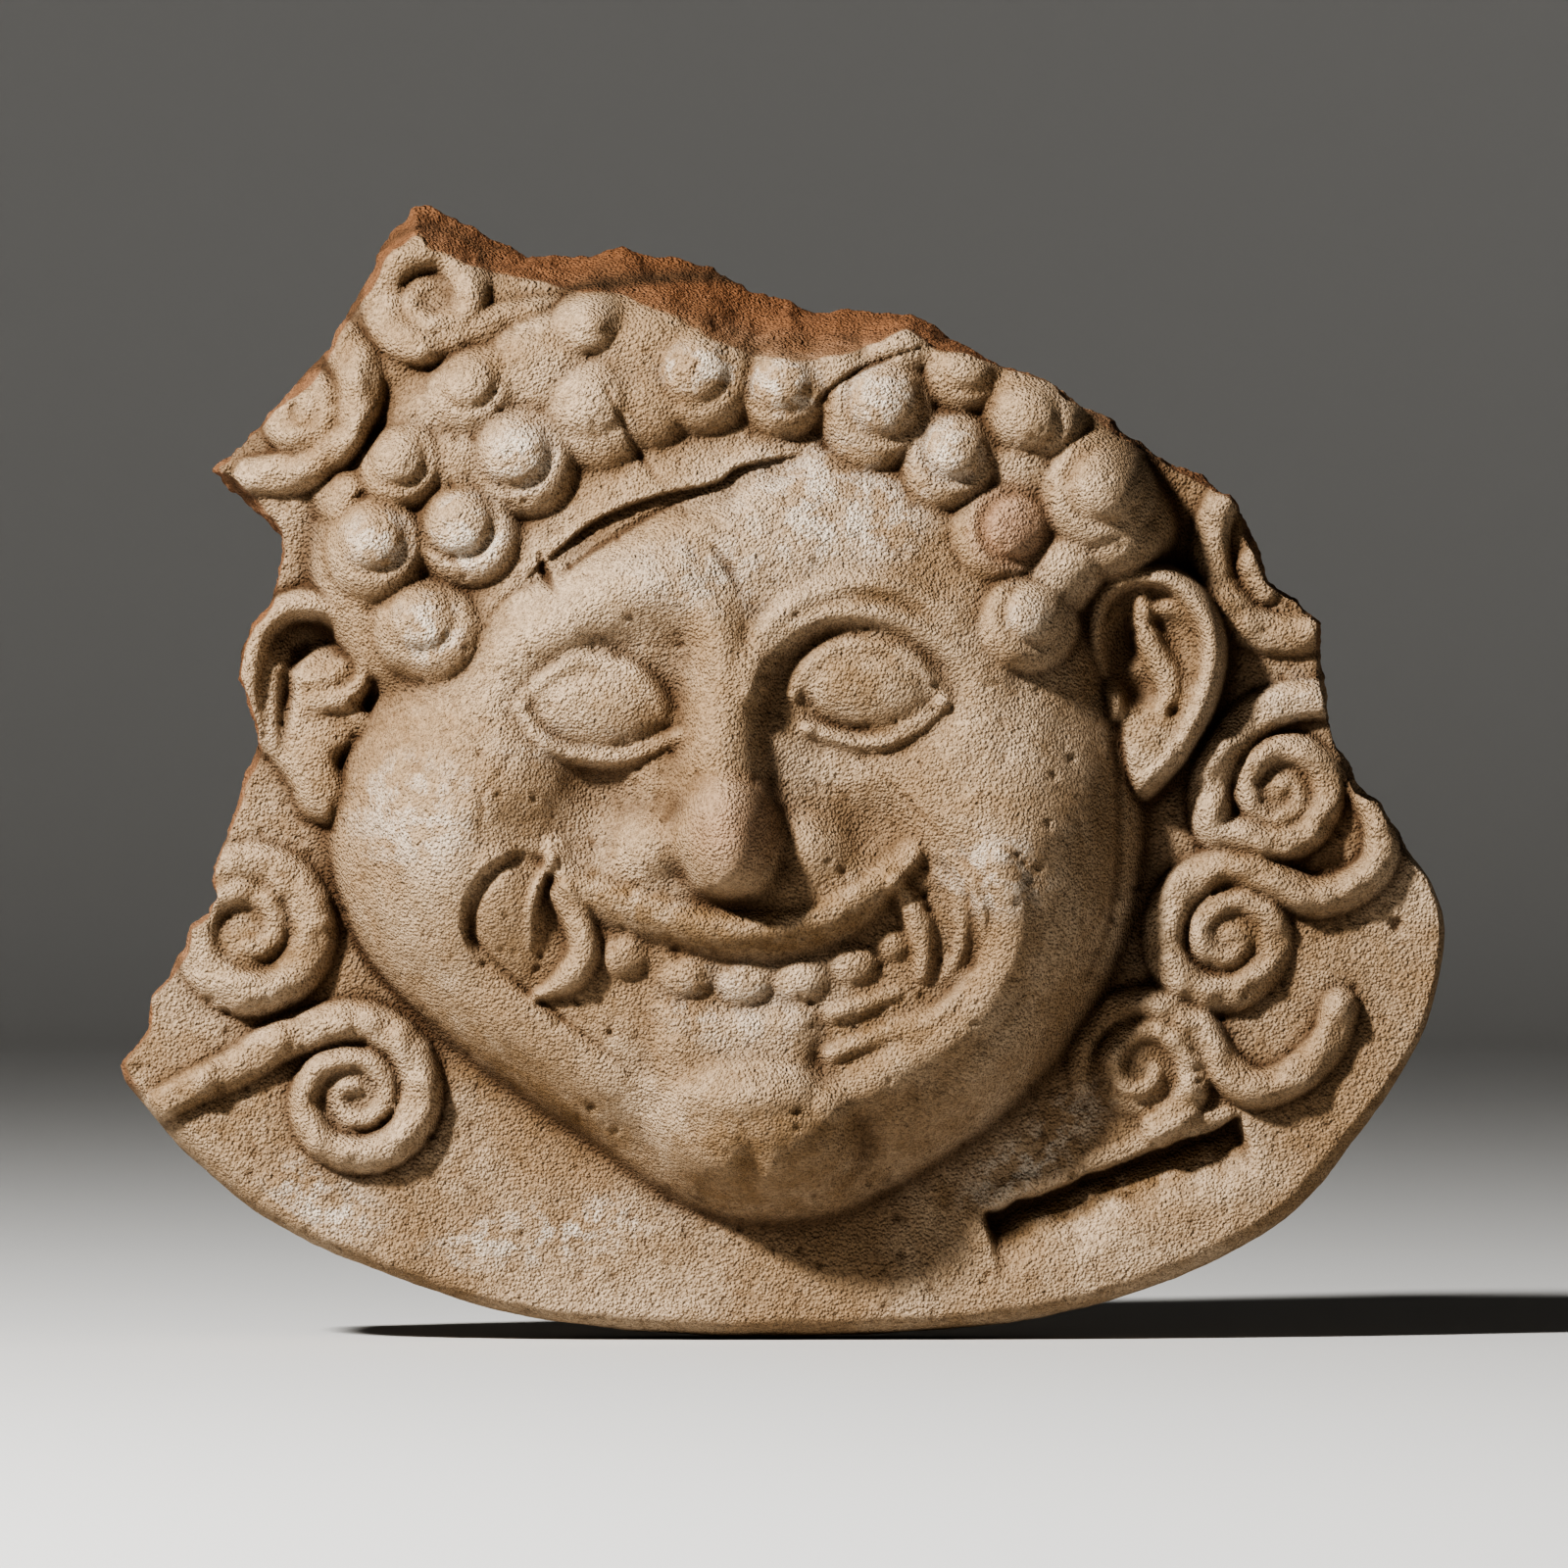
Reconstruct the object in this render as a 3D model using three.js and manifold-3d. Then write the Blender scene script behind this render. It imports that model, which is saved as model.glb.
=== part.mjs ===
// Broken terracotta antefix with a gorgon mask: one solid of fired clay.
// Millimetres, +Z up. The flat back lies in the plane y = 0 and the mask looks toward -Y.
// The carving is drawn in plan at DRAWN_WIDTH, in (x, z) pairs seen from the front, and every
// rise is written over the ground of the plate. WIDTH and the rises below resize it.
import * as THREE from "three";
import { mergeVertices } from "three/addons/utils/BufferGeometryUtils.js";
import Module from "manifold-3d";

// Driving dimensions
const WIDTH = 225; // across the piece, from the left break to the right rim
const PLATE = 20; // clay behind the ground of the relief
const FACE_RISE = 19; // flat of the face over the ground
const FACE_WALL = 26; // width of the rolled edge of the face
const FACE_FULLNESS = 1.7; // 2 rolls it as a quarter round, less flattens it
const HAIR_RISE = 13; // hair mass over the ground
const HAIR_WALL = 11; // width of its rolled edge
const CURL_RISE = 7.7; // snail curls over the hair and the forehead
const CURL_GROOVE = 1.35; // deepest groove round a curl's knob
const EAR_RISE = 8.5; // ears over the ground
const COIL_RISE = 5.4; // coiled snakes over the ground
const COIL_HALF_WIDTH = 4.1; // half the width of a snake's body
const COIL_WEB = 2.7; // clay left between the turns of a coil, over the ground
const SLOT_DEPTH = 6; // cut at the lower right, below the ground
const FLAKE_DEPTH = 3; // flake lost from the forehead, below its surface
const RIM_DEPTH = 12; // where the rim is widest, in front of the back
const BREAK_DEPTH = 5; // where the broken edges stand out most, in front of the back
const BACK_BEVEL = 0.8; // worn edge round the back
const DRAWN_WIDTH = 225;
const DETAIL = 0.57; // how far the facets may leave the relief

const SCALE = WIDTH / DRAWN_WIDTH;
const FACE_SHARE = FACE_RISE / 19; // the face's own forms are drawn for a rise of 19
const FRONT_REACH = 3 * (PLATE + FACE_RISE); // the cutting body runs this far in front of the back

// The clay is a square grid of heights, one drawn millimetre apart
const CELLS = 256;
const NODES = CELLS + 1;
const CORNER = { x: -128, z: -120 };

const blank = () => new Float32Array(NODES * NODES);
const clamp = (value, low = 0, high = 1) => Math.min(high, Math.max(low, value));

function ease(value) {
  const t = clamp(value);
  return t * t * (3 - 2 * t);
}

// The larger of two heights, rounded where they meet
function blendMax(a, b, round) {
  const share = clamp(0.5 + (0.5 * (a - b)) / round);
  return b + (a - b) * share + round * share * (1 - share);
}

// A value from an evenly spaced list, at a place from 0 to 1
function spread(list, place) {
  const at = clamp(place) * (list.length - 1);
  const first = Math.min(Math.floor(at), list.length - 2);
  return list[first] + (list[first + 1] - list[first]) * (at - first);
}

// Calls work(index, x, z) for every node in a box of drawn millimetres
function eachNode(box, work) {
  const left = Math.max(0, Math.ceil(box.left - CORNER.x));
  const right = Math.min(CELLS, Math.floor(box.right - CORNER.x));
  const low = Math.max(0, Math.ceil(box.low - CORNER.z));
  const high = Math.min(CELLS, Math.floor(box.high - CORNER.z));
  for (let row = low; row <= high; row += 1) {
    for (let column = left; column <= right; column += 1) {
      work(row * NODES + column, CORNER.x + column, CORNER.z + row);
    }
  }
}

const EVERYWHERE = { left: CORNER.x, right: CORNER.x + CELLS, low: CORNER.z, high: CORNER.z + CELLS };

function boxRound(a, b, reach) {
  return {
    left: Math.min(a[0], b[0]) - reach,
    right: Math.max(a[0], b[0]) + reach,
    low: Math.min(a[1], b[1]) - reach,
    high: Math.max(a[1], b[1]) + reach,
  };
}

// A smooth run through points, as a list of points
function curveThrough(points, closed = false, perSpan = 5) {
  const spans = closed ? points.length : points.length - 1;
  const flat = points.map(([x, z]) => new THREE.Vector3(x, z, 0));
  const run = new THREE.CatmullRomCurve3(flat, closed, "catmullrom", 0.5).getPoints(spans * perSpan);
  const list = run.map((point) => [point.x, point.y]);
  return closed ? list.slice(0, -1) : list;
}

// A coil: radii spread along it, from a start angle in degrees, over a number of turns
function coilAround(centre, radii, start, turns) {
  const steps = Math.max(10, Math.round(Math.abs(turns) * 24));
  return Array.from({ length: steps }, (_, index) => {
    const place = index / (steps - 1);
    const angle = THREE.MathUtils.degToRad(start + 360 * turns * place);
    const radius = spread(radii, place);
    return [centre[0] + radius * Math.cos(angle), centre[1] + radius * Math.sin(angle)];
  });
}

// For each node near a path: its distance as a share of the half width, and its place along it
function follow(path, halfWidths) {
  const share = blank().fill(9);
  const place = blank();
  const side = blank();
  const run = [0];
  for (let i = 1; i < path.length; i += 1) {
    run.push(run[i - 1] + Math.hypot(path[i][0] - path[i - 1][0], path[i][1] - path[i - 1][1]));
  }
  const total = run[run.length - 1];
  for (let i = 0; i + 1 < path.length; i += 1) {
    const [a, b] = [path[i], path[i + 1]];
    const [from, to] = [run[i] / total, run[i + 1] / total];
    const [wideA, wideB] = [spread(halfWidths, from), spread(halfWidths, to)];
    const [dx, dz] = [b[0] - a[0], b[1] - a[1]];
    eachNode(boxRound(a, b, Math.max(wideA, wideB)), (index, x, z) => {
      const t = clamp(((x - a[0]) * dx + (z - a[1]) * dz) / (dx * dx + dz * dz + 1e-9));
      const away = Math.hypot(x - a[0] - t * dx, z - a[1] - t * dz);
      const now = away / (wideA + (wideB - wideA) * t);
      if (now < share[index]) {
        share[index] = now;
        place[index] = from + (to - from) * t;
        side[index] = Math.sign(dx * (z - a[1]) - dz * (x - a[0])) * away;
      }
    });
  }
  return { share, place, side };
}

// A ridge along a path; fall 0.5 gives a half round, more gives a softer foot
function ridge(path, halfWidths, rises, fall = 0.5) {
  const near = follow(path, halfWidths);
  return near.share.map((share, index) =>
    share < 1 ? spread(rises, near.place[index]) * (1 - share * share) ** fall : 0);
}

const softRidge = (points, halfWidths, rises, fall) => ridge(curveThrough(points), halfWidths, rises, fall);

function dome(centre, radii, rise, fall = 0.5, tilt = 0) {
  const layer = blank();
  const [cos, sin] = [Math.cos(THREE.MathUtils.degToRad(tilt)), Math.sin(THREE.MathUtils.degToRad(tilt))];
  eachNode(boxRound(centre, centre, Math.max(...radii)), (index, x, z) => {
    const [dx, dz] = [x - centre[0], z - centre[1]];
    const u = (dx * cos + dz * sin) / radii[0];
    const v = (dz * cos - dx * sin) / radii[1];
    layer[index] = rise * clamp(1 - u * u - v * v) ** fall;
  });
  return layer;
}

// How far each node lies inside a closed outline, up to a reach; below zero outside
function depthInside(outline, reach) {
  const path = curveThrough(outline, true);
  const near = blank().fill(reach);
  const within = new Uint8Array(NODES * NODES);
  path.forEach((a, index) => {
    const b = path[(index + 1) % path.length];
    const [dx, dz] = [b[0] - a[0], b[1] - a[1]];
    eachNode(boxRound(a, b, reach), (node, x, z) => {
      const t = clamp(((x - a[0]) * dx + (z - a[1]) * dz) / (dx * dx + dz * dz + 1e-9));
      near[node] = Math.min(near[node], Math.hypot(x - a[0] - t * dx, z - a[1] - t * dz));
    });
    eachNode({ ...EVERYWHERE, low: Math.min(a[1], b[1]), high: Math.max(a[1], b[1]) }, (node, x, z) => {
      if (a[1] > z !== b[1] > z && x < a[0] + ((z - a[1]) * dx) / dz) {
        within[node] ^= 1;
      }
    });
  });
  return near.map((value, node) => (within[node] ? value : -value));
}

// A mass with a rolled edge of a given width
function mass(outline, rise, wall, fullness = 2) {
  return depthInside(outline, wall).map((depth) => {
    if (depth <= 0) {
      return 0;
    }
    return rise * (1 - clamp(1 - depth / wall) ** fullness) ** (1 / fullness);
  });
}

// Rounds a layer off, as a thumb would, over a size in drawn millimetres
function soften(layer, size) {
  const reach = Math.ceil(3 * size);
  const weights = Array.from({ length: 2 * reach + 1 }, (_, k) => Math.exp(-0.5 * ((k - reach) / size) ** 2));
  const sum = weights.reduce((total, weight) => total + weight, 0);
  const pass = (from, step, lineOf) => from.map((_, index) => {
    const line = lineOf(index);
    let value = 0;
    for (let k = -reach; k <= reach; k += 1) {
      value += weights[k + reach] * from[index + (clamp(line + k, 0, CELLS) - line) * step];
    }
    return value / sum;
  });
  return pass(pass(layer, 1, (index) => index % NODES), NODES, (index) => Math.floor(index / NODES));
}

const combine = (a, b, rule) => a.map((value, index) => rule(value, b[index]));
const plus = (a, b) => combine(a, b, (p, q) => p + q);
const minus = (a, b) => combine(a, b, (p, q) => p - q);
const higher = (a, b) => combine(a, b, Math.max);
const blended = (round) => (a, b) => combine(a, b, (p, q) => blendMax(p, q, round));

// The masses

const FACE_OUTLINE = [
  [-69, 22], [-74.5, 11], [-77, 0], [-76.5, -10], [-73.5, -19], [-68, -27.5], [-60.5, -35.5], [-51, -43],
  [-41, -50], [-31, -56.5], [-24, -61.5], [-15, -66.8], [-4, -69.2], [8, -68], [20, -62.5], [32, -55],
  [43, -45.5], [51.5, -34.5], [57.5, -22], [60.5, -8], [60.8, 4], [59, 14], [56, 24], [53, 36], [46, 50],
  [30, 62], [10, 68], [-12, 68], [-34, 62], [-52, 50], [-63, 36],
];
const HAIR_OUTLINE = [
  [-68, 20], [-77.5, 31], [-80.5, 42], [-78, 55], [-70, 68], [-58, 79], [-40, 87], [-16, 90.5], [8, 89],
  [30, 83.5], [47, 74], [58, 65], [64.5, 55], [66.5, 47], [62, 40], [54, 34], [46, 22], [20, 30], [-20, 34],
  [-50, 22],
];

// On the upper left the hair runs out softly into the ground
function hairSkirt() {
  const rises = [0.15, 0.54, 0.58, 0.31].map((share) => share * HAIR_RISE);
  return softRidge([[-84, 42], [-80, 56], [-70, 70], [-56, 80], [-40, 88]], [8, 13, 13, 9], rises, 1.4);
}

function masses() {
  const face = mass(FACE_OUTLINE, FACE_RISE, FACE_WALL, FACE_FULLNESS);
  const head = blended(4)(face, mass(HAIR_OUTLINE, HAIR_RISE, HAIR_WALL));
  const joined = combine(head, hairSkirt(), (a, b) => (a > 0 || b > 0 ? blendMax(a, b, 4) : 0));
  return soften(joined, 0.8);
}

// The face

function brows() {
  return [
    softRidge([[-50, 20], [-42, 29.5], [-31, 36], [-20, 37.5], [-12, 33], [-10, 25]], [6, 9, 9, 5],
      [1, 3.6, 4.6, 2.4], 1.8),
    softRidge([[-5.4, 21], [-2.6, 28.5], [4, 33.2], [11, 34.4], [19, 33], [27, 29.4], [35, 23]],
      [3.5, 4.2, 4], [3.6, 4.2, 1.2], 1.4),
    softRidge([[-4, 31], [1, 35.6], [7.3, 38.2], [13.8, 38.8], [20.2, 37.6], [27, 34.4], [34, 29]],
      [2.2, 2.6, 2.6], [1.8, 2.8, 0.8], 1.3),
  ];
}

// Rows up the nose: height up the face, left foot, crest, right foot, rise
const NOSE_ROWS = [
  [-15.5, -15, -8, -2, 0], [-12, -17, -8.6, -0.6, 3.8], [-6, -20, -8.8, 0, 6.2], [0, -20, -9.2, -0.8, 7.2],
  [6, -19.6, -9.6, -1.8, 7.4], [12, -18.8, -10, -2.8, 6.8], [18, -18, -10.4, -3.8, 6],
  [25, -17.6, -10.8, -4.4, 4.2], [33, -17, -11, -4, 1.4], [38, -16, -11, -4, 0],
];

function noseBridge() {
  const layer = blank();
  const box = { left: -30, right: 10, low: NOSE_ROWS[0][0], high: NOSE_ROWS[NOSE_ROWS.length - 1][0] };
  eachNode(box, (index, x, z) => {
    const upper = Math.max(1, NOSE_ROWS.findIndex((row) => row[0] >= z));
    const [below, above] = [NOSE_ROWS[upper - 1], NOSE_ROWS[upper]];
    const t = (z - below[0]) / (above[0] - below[0]);
    const [left, crest, right, rise] = [1, 2, 3, 4].map((k) => below[k] + (above[k] - below[k]) * t);
    const onLeft = x < crest;
    const u = onLeft ? (crest - x) / (crest - left) : (x - crest) / (right - crest);
    layer[index] = rise * clamp(1 - u * u) ** (onLeft ? 1.3 : 1.1);
  });
  return layer;
}

function nose() {
  return [
    noseBridge(),
    dome([-9, -4], [9.6, 10.6], 8.6, 0.68),
    dome([-21, -5.4], [7.6, 6.2], 3.4, 1.3, 20),
    dome([4, -5.2], [7, 6], 3, 1.3, -15),
  ];
}

function cheeksAndChin() {
  return [
    dome([-8, 4], [64, 62], 4.5, 1.2),
    dome([-54, -3], [22, 27], 5.4, 1.6, -12),
    dome([39, -5], [21, 29], 5.4, 1.6, 14),
    dome([-10, 50], [40, 15], 1.2, 1.2),
    dome([-4, -14], [30, 10], 2.2, 1.4),
    softRidge([[-66, -20], [-55, -34], [-42, -43.5], [-28, -51]], [10, 12, 10], [1, 3, 1.6], 1.8),
    softRidge([[8, -54], [26, -48.5], [39, -37], [47, -20]], [10, 12, 10], [1.2, 3.6, 1.6], 1.8),
    dome([-5, -54.5], [18.5, 14], 7.6, 0.85),
  ];
}

function hollowsOfFace() {
  return [
    softRidge([[-21, 8], [-29, 1], [-39, -3], [-49, -4]], [9, 11, 8], [1, 4.4, 2], 2),
    softRidge([[4, 8], [10, 0], [19, -4], [27, -7]], [8, 10, 6], [1, 3.6, 1.8], 2),
    dome([-31, 17], [20, 15], 5, 1.8, -8),
    dome([14, 20], [19, 15], 4.2, 1.8, -8),
    softRidge([[-3, 28.4], [1.6, 32.8], [7.5, 35.6], [14, 36.1], [20.5, 34.8], [27, 31.4], [33, 26.6]],
      [1.2, 1.5, 1.3], [1.2, 2.4, 0.8], 1),
    dome([-0.6, 20], [5, 9], 0.4, 1.8),
    dome([-19, 24], [5.5, 8], 1.3, 1.8),
    dome([-8.6, -15.4], [11, 3.4], 1.6, 1.2),
    softRidge([[-6, -53.5], [-5.4, -58], [-7, -65]], [3, 3.4, 3], [0.4, 2.4, 0.8], 1.6),
    softRidge([[-28, -50.5], [-25.4, -56], [-21, -63]], [4, 4.6, 4], [0.8, 2.6, 1], 1.4),
    softRidge([[10.5, -50], [14.4, -56], [14.8, -63]], [4, 4.6, 4], [0.8, 2.4, 1], 1.4),
  ];
}

const MOUTH_OUTLINE = [
  [-40, -5.8], [-46, -6.4], [-51.5, -11], [-54.2, -19], [-51.5, -25.5], [-45, -31.5], [-38, -37], [-30, -43],
  [-24, -48.5], [-10, -50], [4, -48.5], [9.5, -44], [18.4, -39.4], [27.6, -33.2], [33.4, -26], [34, -17.6],
  [30.6, -9.4], [25, -5.4], [21, -8.4], [14.5, -16.2], [5.5, -21.2], [-4.2, -22.9], [-13.7, -21.9],
  [-24, -18.9], [-32, -15.6], [-36.4, -11],
];
const TONGUE_OUTLINE = [
  [-21.4, -31], [-21.8, -36], [-22.4, -42], [-24, -47], [-18, -50.5], [-8, -51.5], [3, -50], [7, -46],
  [5.4, -41], [6.4, -35], [4, -31.6], [-8, -32],
];
// Middle of each tooth, its half width and half height, and its rise
const TEETH = [
  [-26.8, -23.8, 4.4, 4.2, 3.3], [-16.4, -27.2, 5, 4, 3], [-6.8, -28.5, 5.1, 4, 3.2],
  [2.9, -27.8, 5.1, 4, 3.1], [11.8, -25.2, 4.6, 3.8, 2.8], [18.1, -21.8, 3.4, 3.2, 2.2],
];

function mouthHollow() {
  const bowl = depthInside(MOUTH_OUTLINE, 6).map((depth, index) => {
    const z = CORNER.z + Math.floor(index / NODES);
    const shallow = 0.1 + 0.9 * clamp((z + 48) / 26);
    return depth > 0 ? 2.8 * shallow * ease(depth / 2.6) : 0;
  });
  const left = softRidge([[-43, -6.2], [-48.8, -9.4], [-52.2, -14.6], [-52.8, -20.6], [-50.4, -26]],
    [0.9, 1.7, 1.5, 1], [0.6, 2.2, 1.8, 0.4], 1);
  const right = softRidge([[27, -8.4], [31.2, -14], [31.8, -21], [29, -27.4]], [1.4, 1.7, 1.2],
    [0.5, 1.2, 0.4], 1);
  return [bowl, left, right].reduce(plus);
}

function tusks() {
  return [
    dome([-46.4, -16.6], [6.6, 12], 2.4, 0.6, 8),
    dome([-42.4, -9], [4.6, 4.6], 1.8, 0.9),
    softRidge([[-38.9, -7.4], [-41.4, -12], [-42.6, -17], [-42.8, -22.4]], [1.1, 1.4, 1], [3, 3.6, 2.4], 0.8),
    softRidge([[-37.6, -13.4], [-34.4, -18.6], [-33.6, -23.4], [-36.4, -27.8], [-41.8, -30.8]],
      [2.2, 3, 3, 1], [3.4, 5, 4.6, 2.6], 0.6),
    dome([28, -18], [5, 10], 1.2, 0.9, 8),
    softRidge([[25.4, -8], [29.8, -13], [31, -19.6], [28.6, -26.4]], [2.4, 3.4, 2.2], [2.2, 3, 1.8], 0.7),
    dome([26.6, -9.6], [4.2, 4.2], 1.6, 0.9),
    softRidge([[19.2, -11.6], [22.2, -17.2], [23.6, -22.6], [23.2, -27]], [2.2, 2.9, 1.7],
      [2.8, 3.9, 2.2], 0.7),
  ].reduce(higher);
}

function teethAndTongue() {
  const gum = softRidge([[-33, -19], [-23, -22.5], [-13, -25], [-4, -26], [5, -24.8], [13, -21.8], [19, -18]],
    [4.2, 4.4, 4], [1, 1.2, 0.9], 1);
  const row = TEETH.map(([x, z, wide, tall, rise]) => dome([x, z], [wide, tall], rise, 0.7));
  const tongue = mass(TONGUE_OUTLINE, 2.2, 5, 1.4);
  return blended(0.6)(row.reduce(blended(0.5), gum), tongue);
}

function lips() {
  return [
    softRidge([[-38.6, -5.4], [-36, -11.2], [-25, -15.6], [-14, -18.8], [-4.2, -19.8], [5.5, -18.2],
      [14, -13], [21, -6.4]], [2.4, 3.6, 2.6], [1.6, 2.6, 1.8], 0.9),
    softRidge([[9, -49], [18.6, -43.4], [28.4, -36.6], [36, -28], [38.6, -18], [36, -8]], [4.6, 5.4, 4],
      [2.2, 3, 1.6], 1.4),
    softRidge([[8, -33.8], [13.2, -32.2], [18.8, -30]], [1.7, 1.9, 1.4], [1.8, 1.8, 1], 1),
    softRidge([[8, -40.4], [18, -36.6], [26.6, -32.6], [31, -27]], [1.9, 2, 1.4], [1.8, 2, 1], 1),
  ];
}

const EYES = [
  {
    ball: [-30.6, 18.4],
    radii: [12.2, 8.2],
    upper: [[-44.2, 18.6], [-39.6, 23.4], [-34, 26.2], [-28.6, 25.8], [-23.6, 22.6], [-18.8, 16]],
    lower: [[-43.8, 17.8], [-41, 13.2], [-36, 10.2], [-30, 9.2], [-24, 10.4], [-18, 13.4]],
  },
  {
    ball: [14.4, 21.6],
    radii: [11.8, 8.1],
    upper: [[1.8, 20], [3.6, 24.6], [8, 28.2], [13.6, 29.2], [20, 27.4], [24.6, 23.2], [26.8, 18.8]],
    lower: [[26.8, 18.8], [22.6, 15], [17, 12.4], [11, 12.4], [4, 14.4]],
  },
];

function eyes() {
  return EYES.flatMap(({ ball, radii, upper, lower }) => [
    dome(ball, radii, 6.9, 0.85, -8),
    softRidge(upper, [1.4, 1.9, 1.6], [1.2, 1.8, 0.8], 1),
    softRidge(lower, [1.4, 1.9, 1.5], [1.6, 2.8, 2], 0.8),
  ]);
}

// Everything that lies on the face, as rise over its mass
function faceForms() {
  const soft = minus([...cheeksAndChin(), ...brows(), ...nose()].reduce(plus), hollowsOfFace().reduce(plus));
  const bite = blended(0.4)(teethAndTongue(), tusks());
  const crisp = minus([...lips(), ...eyes(), bite].reduce(plus), mouthHollow());
  const forms = plus(soften(soft, 1), soften(crisp, 0.6));
  const within = depthInside(FACE_OUTLINE, 12);
  return forms.map((rise, index) => rise * FACE_SHARE * ease(within[index] / 9));
}

// The hair

// Middle and radius of each snail curl, its rise as a share of CURL_RISE, where its groove starts, its depth
const CURLS = [
  [-64.3, 58.3, 7.2, 0.78, 50, 0.8], [-44.2, 59.2, 9.4, 0.95, 60, 1], [-68.6, 44.6, 8.8, 0.9, 50, 0.9],
  [-53.6, 47.2, 9, 1, 60, 1.1], [-60.3, 31, 8.8, 0.91, 50, 0.7], [-52.6, 71.6, 7.6, 0.58, 50, 0.6],
  [-31.4, 67.6, 9.6, 0.78, 60, 0.4], [-41, 75.4, 9, 0.39, 0, 0], [-33, 83.2, 6, 0.77, 0, 0.2],
  [-23.4, 76.6, 9.4, 0.44, 0, 0], [-13.8, 73.2, 9.2, 0.83, 60, 0.5], [-22.6, 69, 7.4, 0.6, 0, 0],
  [0.4, 71.4, 8, 0.87, 60, 0.4], [8.6, 74.2, 6, 0.6, 0, 0], [15.6, 68, 9.8, 1.01, -15, 1.1],
  [28, 59.8, 8.4, 0.99, 0, 1.1], [37.2, 47.8, 8.8, 0.81, -50, 0.9], [41.4, 32.2, 8.4, 0.9, -10, 0.8],
  [42.4, 68, 9, 0.96, 150, 0.7], [52.6, 54.2, 10.2, 0.96, -30, 0.9], [30.4, 74.4, 7, 0.77, 0, 0.4],
  [19.4, 79.6, 6.6, 0.57, 0, 0], [-54.4, 58.4, 6.4, 0.42, 0, 0], [47.4, 40.6, 7.2, 0.6, 0, 0],
  [57.2, 44.6, 6.6, 0.49, 0, 0], [40, 58.5, 6.6, 0.49, 0, 0], [-75.6, 54, 4.6, 0.43, 0, 0],
];

function curl([x, z, radius, share, start, groove]) {
  const rise = share * CURL_RISE;
  const body = dome([x, z], [1.05 * radius, 1.05 * radius], rise, 0.72);
  if (!groove) {
    return body;
  }
  const lean = THREE.MathUtils.degToRad(start + 60);
  const middle = [x + 0.24 * radius * Math.cos(lean), z + 0.24 * radius * Math.sin(lean)];
  const turn = coilAround(middle, [0.7, 0.67, 0.66, 0.6].map((part) => part * radius), start + 90, 0.85);
  const cut = ridge(turn, [0.12 * radius, 0.17 * radius, 0.14 * radius], [0.3, 1, 0.9, 0.3], 1);
  const knob = dome(middle, [0.62 * radius, 0.62 * radius], 0.15 * rise, 0.9);
  return body.map((value, index) =>
    value > 0 ? Math.max(0.2, value + knob[index] - CURL_GROOVE * groove * cut[index]) : 0);
}

// The ears

const RIGHT_EAR_OUTLINE = [
  [50.2, 35], [52.5, 39.6], [58, 42.6], [66, 42.2], [72.8, 36.8], [75.4, 28.5], [74, 19.5], [70.8, 12.5],
  [66.4, 6.2], [61, 1.8], [56.6, 5], [54, 14], [53, 22], [50.6, 28],
];
const LEFT_EAR_OUTLINE = [
  [-93, 21], [-91.4, 30], [-87.4, 36.2], [-79, 38.8], [-72, 35], [-68, 28], [-69.2, 21.4], [-70.4, 18.6],
  [-67.4, 16.6], [-69.6, 11.6], [-74.6, 9], [-72.8, 3.6], [-76.4, -2], [-81.4, -0.4], [-84.6, 6], [-88, 10],
  [-92, 14],
];

function ear(outline, share, raised, sunk) {
  const base = mass(outline, share * EAR_RISE, 4);
  const forms = minus(raised.reduce(plus), sunk.reduce(plus));
  const body = combine(base, forms, (a, b) => (a > 0 ? Math.max(0, a + (b * EAR_RISE) / 8.5) : 0));
  return soften(body, 0.6);
}

function rightEar() {
  const helix = softRidge([[53.4, 24], [51.8, 28.4], [52, 33.6], [54.4, 38], [59.4, 40.6], [66, 39.6],
    [71, 34.7], [73, 28.5], [72.2, 21.7], [69.4, 14.8], [65.4, 8.7], [61.4, 5.3]],
  [1.8, 2.4, 2.6, 2.7, 2.6, 2.4, 1.8], [1.4, 3.2, 3.6, 3.4, 2.8, 1], 0.7);
  const innerRim = softRidge([[60.4, 36], [60.6, 32], [62.8, 27], [65.2, 22], [64.2, 17.6]],
    [1.7, 2.5, 2.5, 1.6], [2, 4, 3.6, 1.2], 0.7);
  const raised = [
    helix,
    innerRim,
    softRidge([[61.4, 34], [65, 34.6], [68, 33]], [1.5, 1.9, 1.2], [1.4, 2, 0.6], 0.8),
    dome([55.2, 19], [2.7, 4], 2.8, 0.8),
    dome([61.2, 9.8], [5, 7], 1.6, 1),
  ];
  const sunk = [
    dome([62, 28], [9.6, 11], 3.4, 1),
    dome([57, 27], [3.4, 7.4], 2.6, 1.2, -8),
    dome([59.6, 20.4], [3.2, 4.2], 2, 1.2),
    dome([65.8, 17.4], [1.3, 1.4], 1.8, 0.8),
    softRidge([[56.4, 15], [57, 9.6], [58.6, 3.6]], [1.1, 1.2, 0.9], [1.2, 1.4, 0.8], 1),
  ];
  return ear(RIGHT_EAR_OUTLINE, 1, raised, sunk);
}

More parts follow.
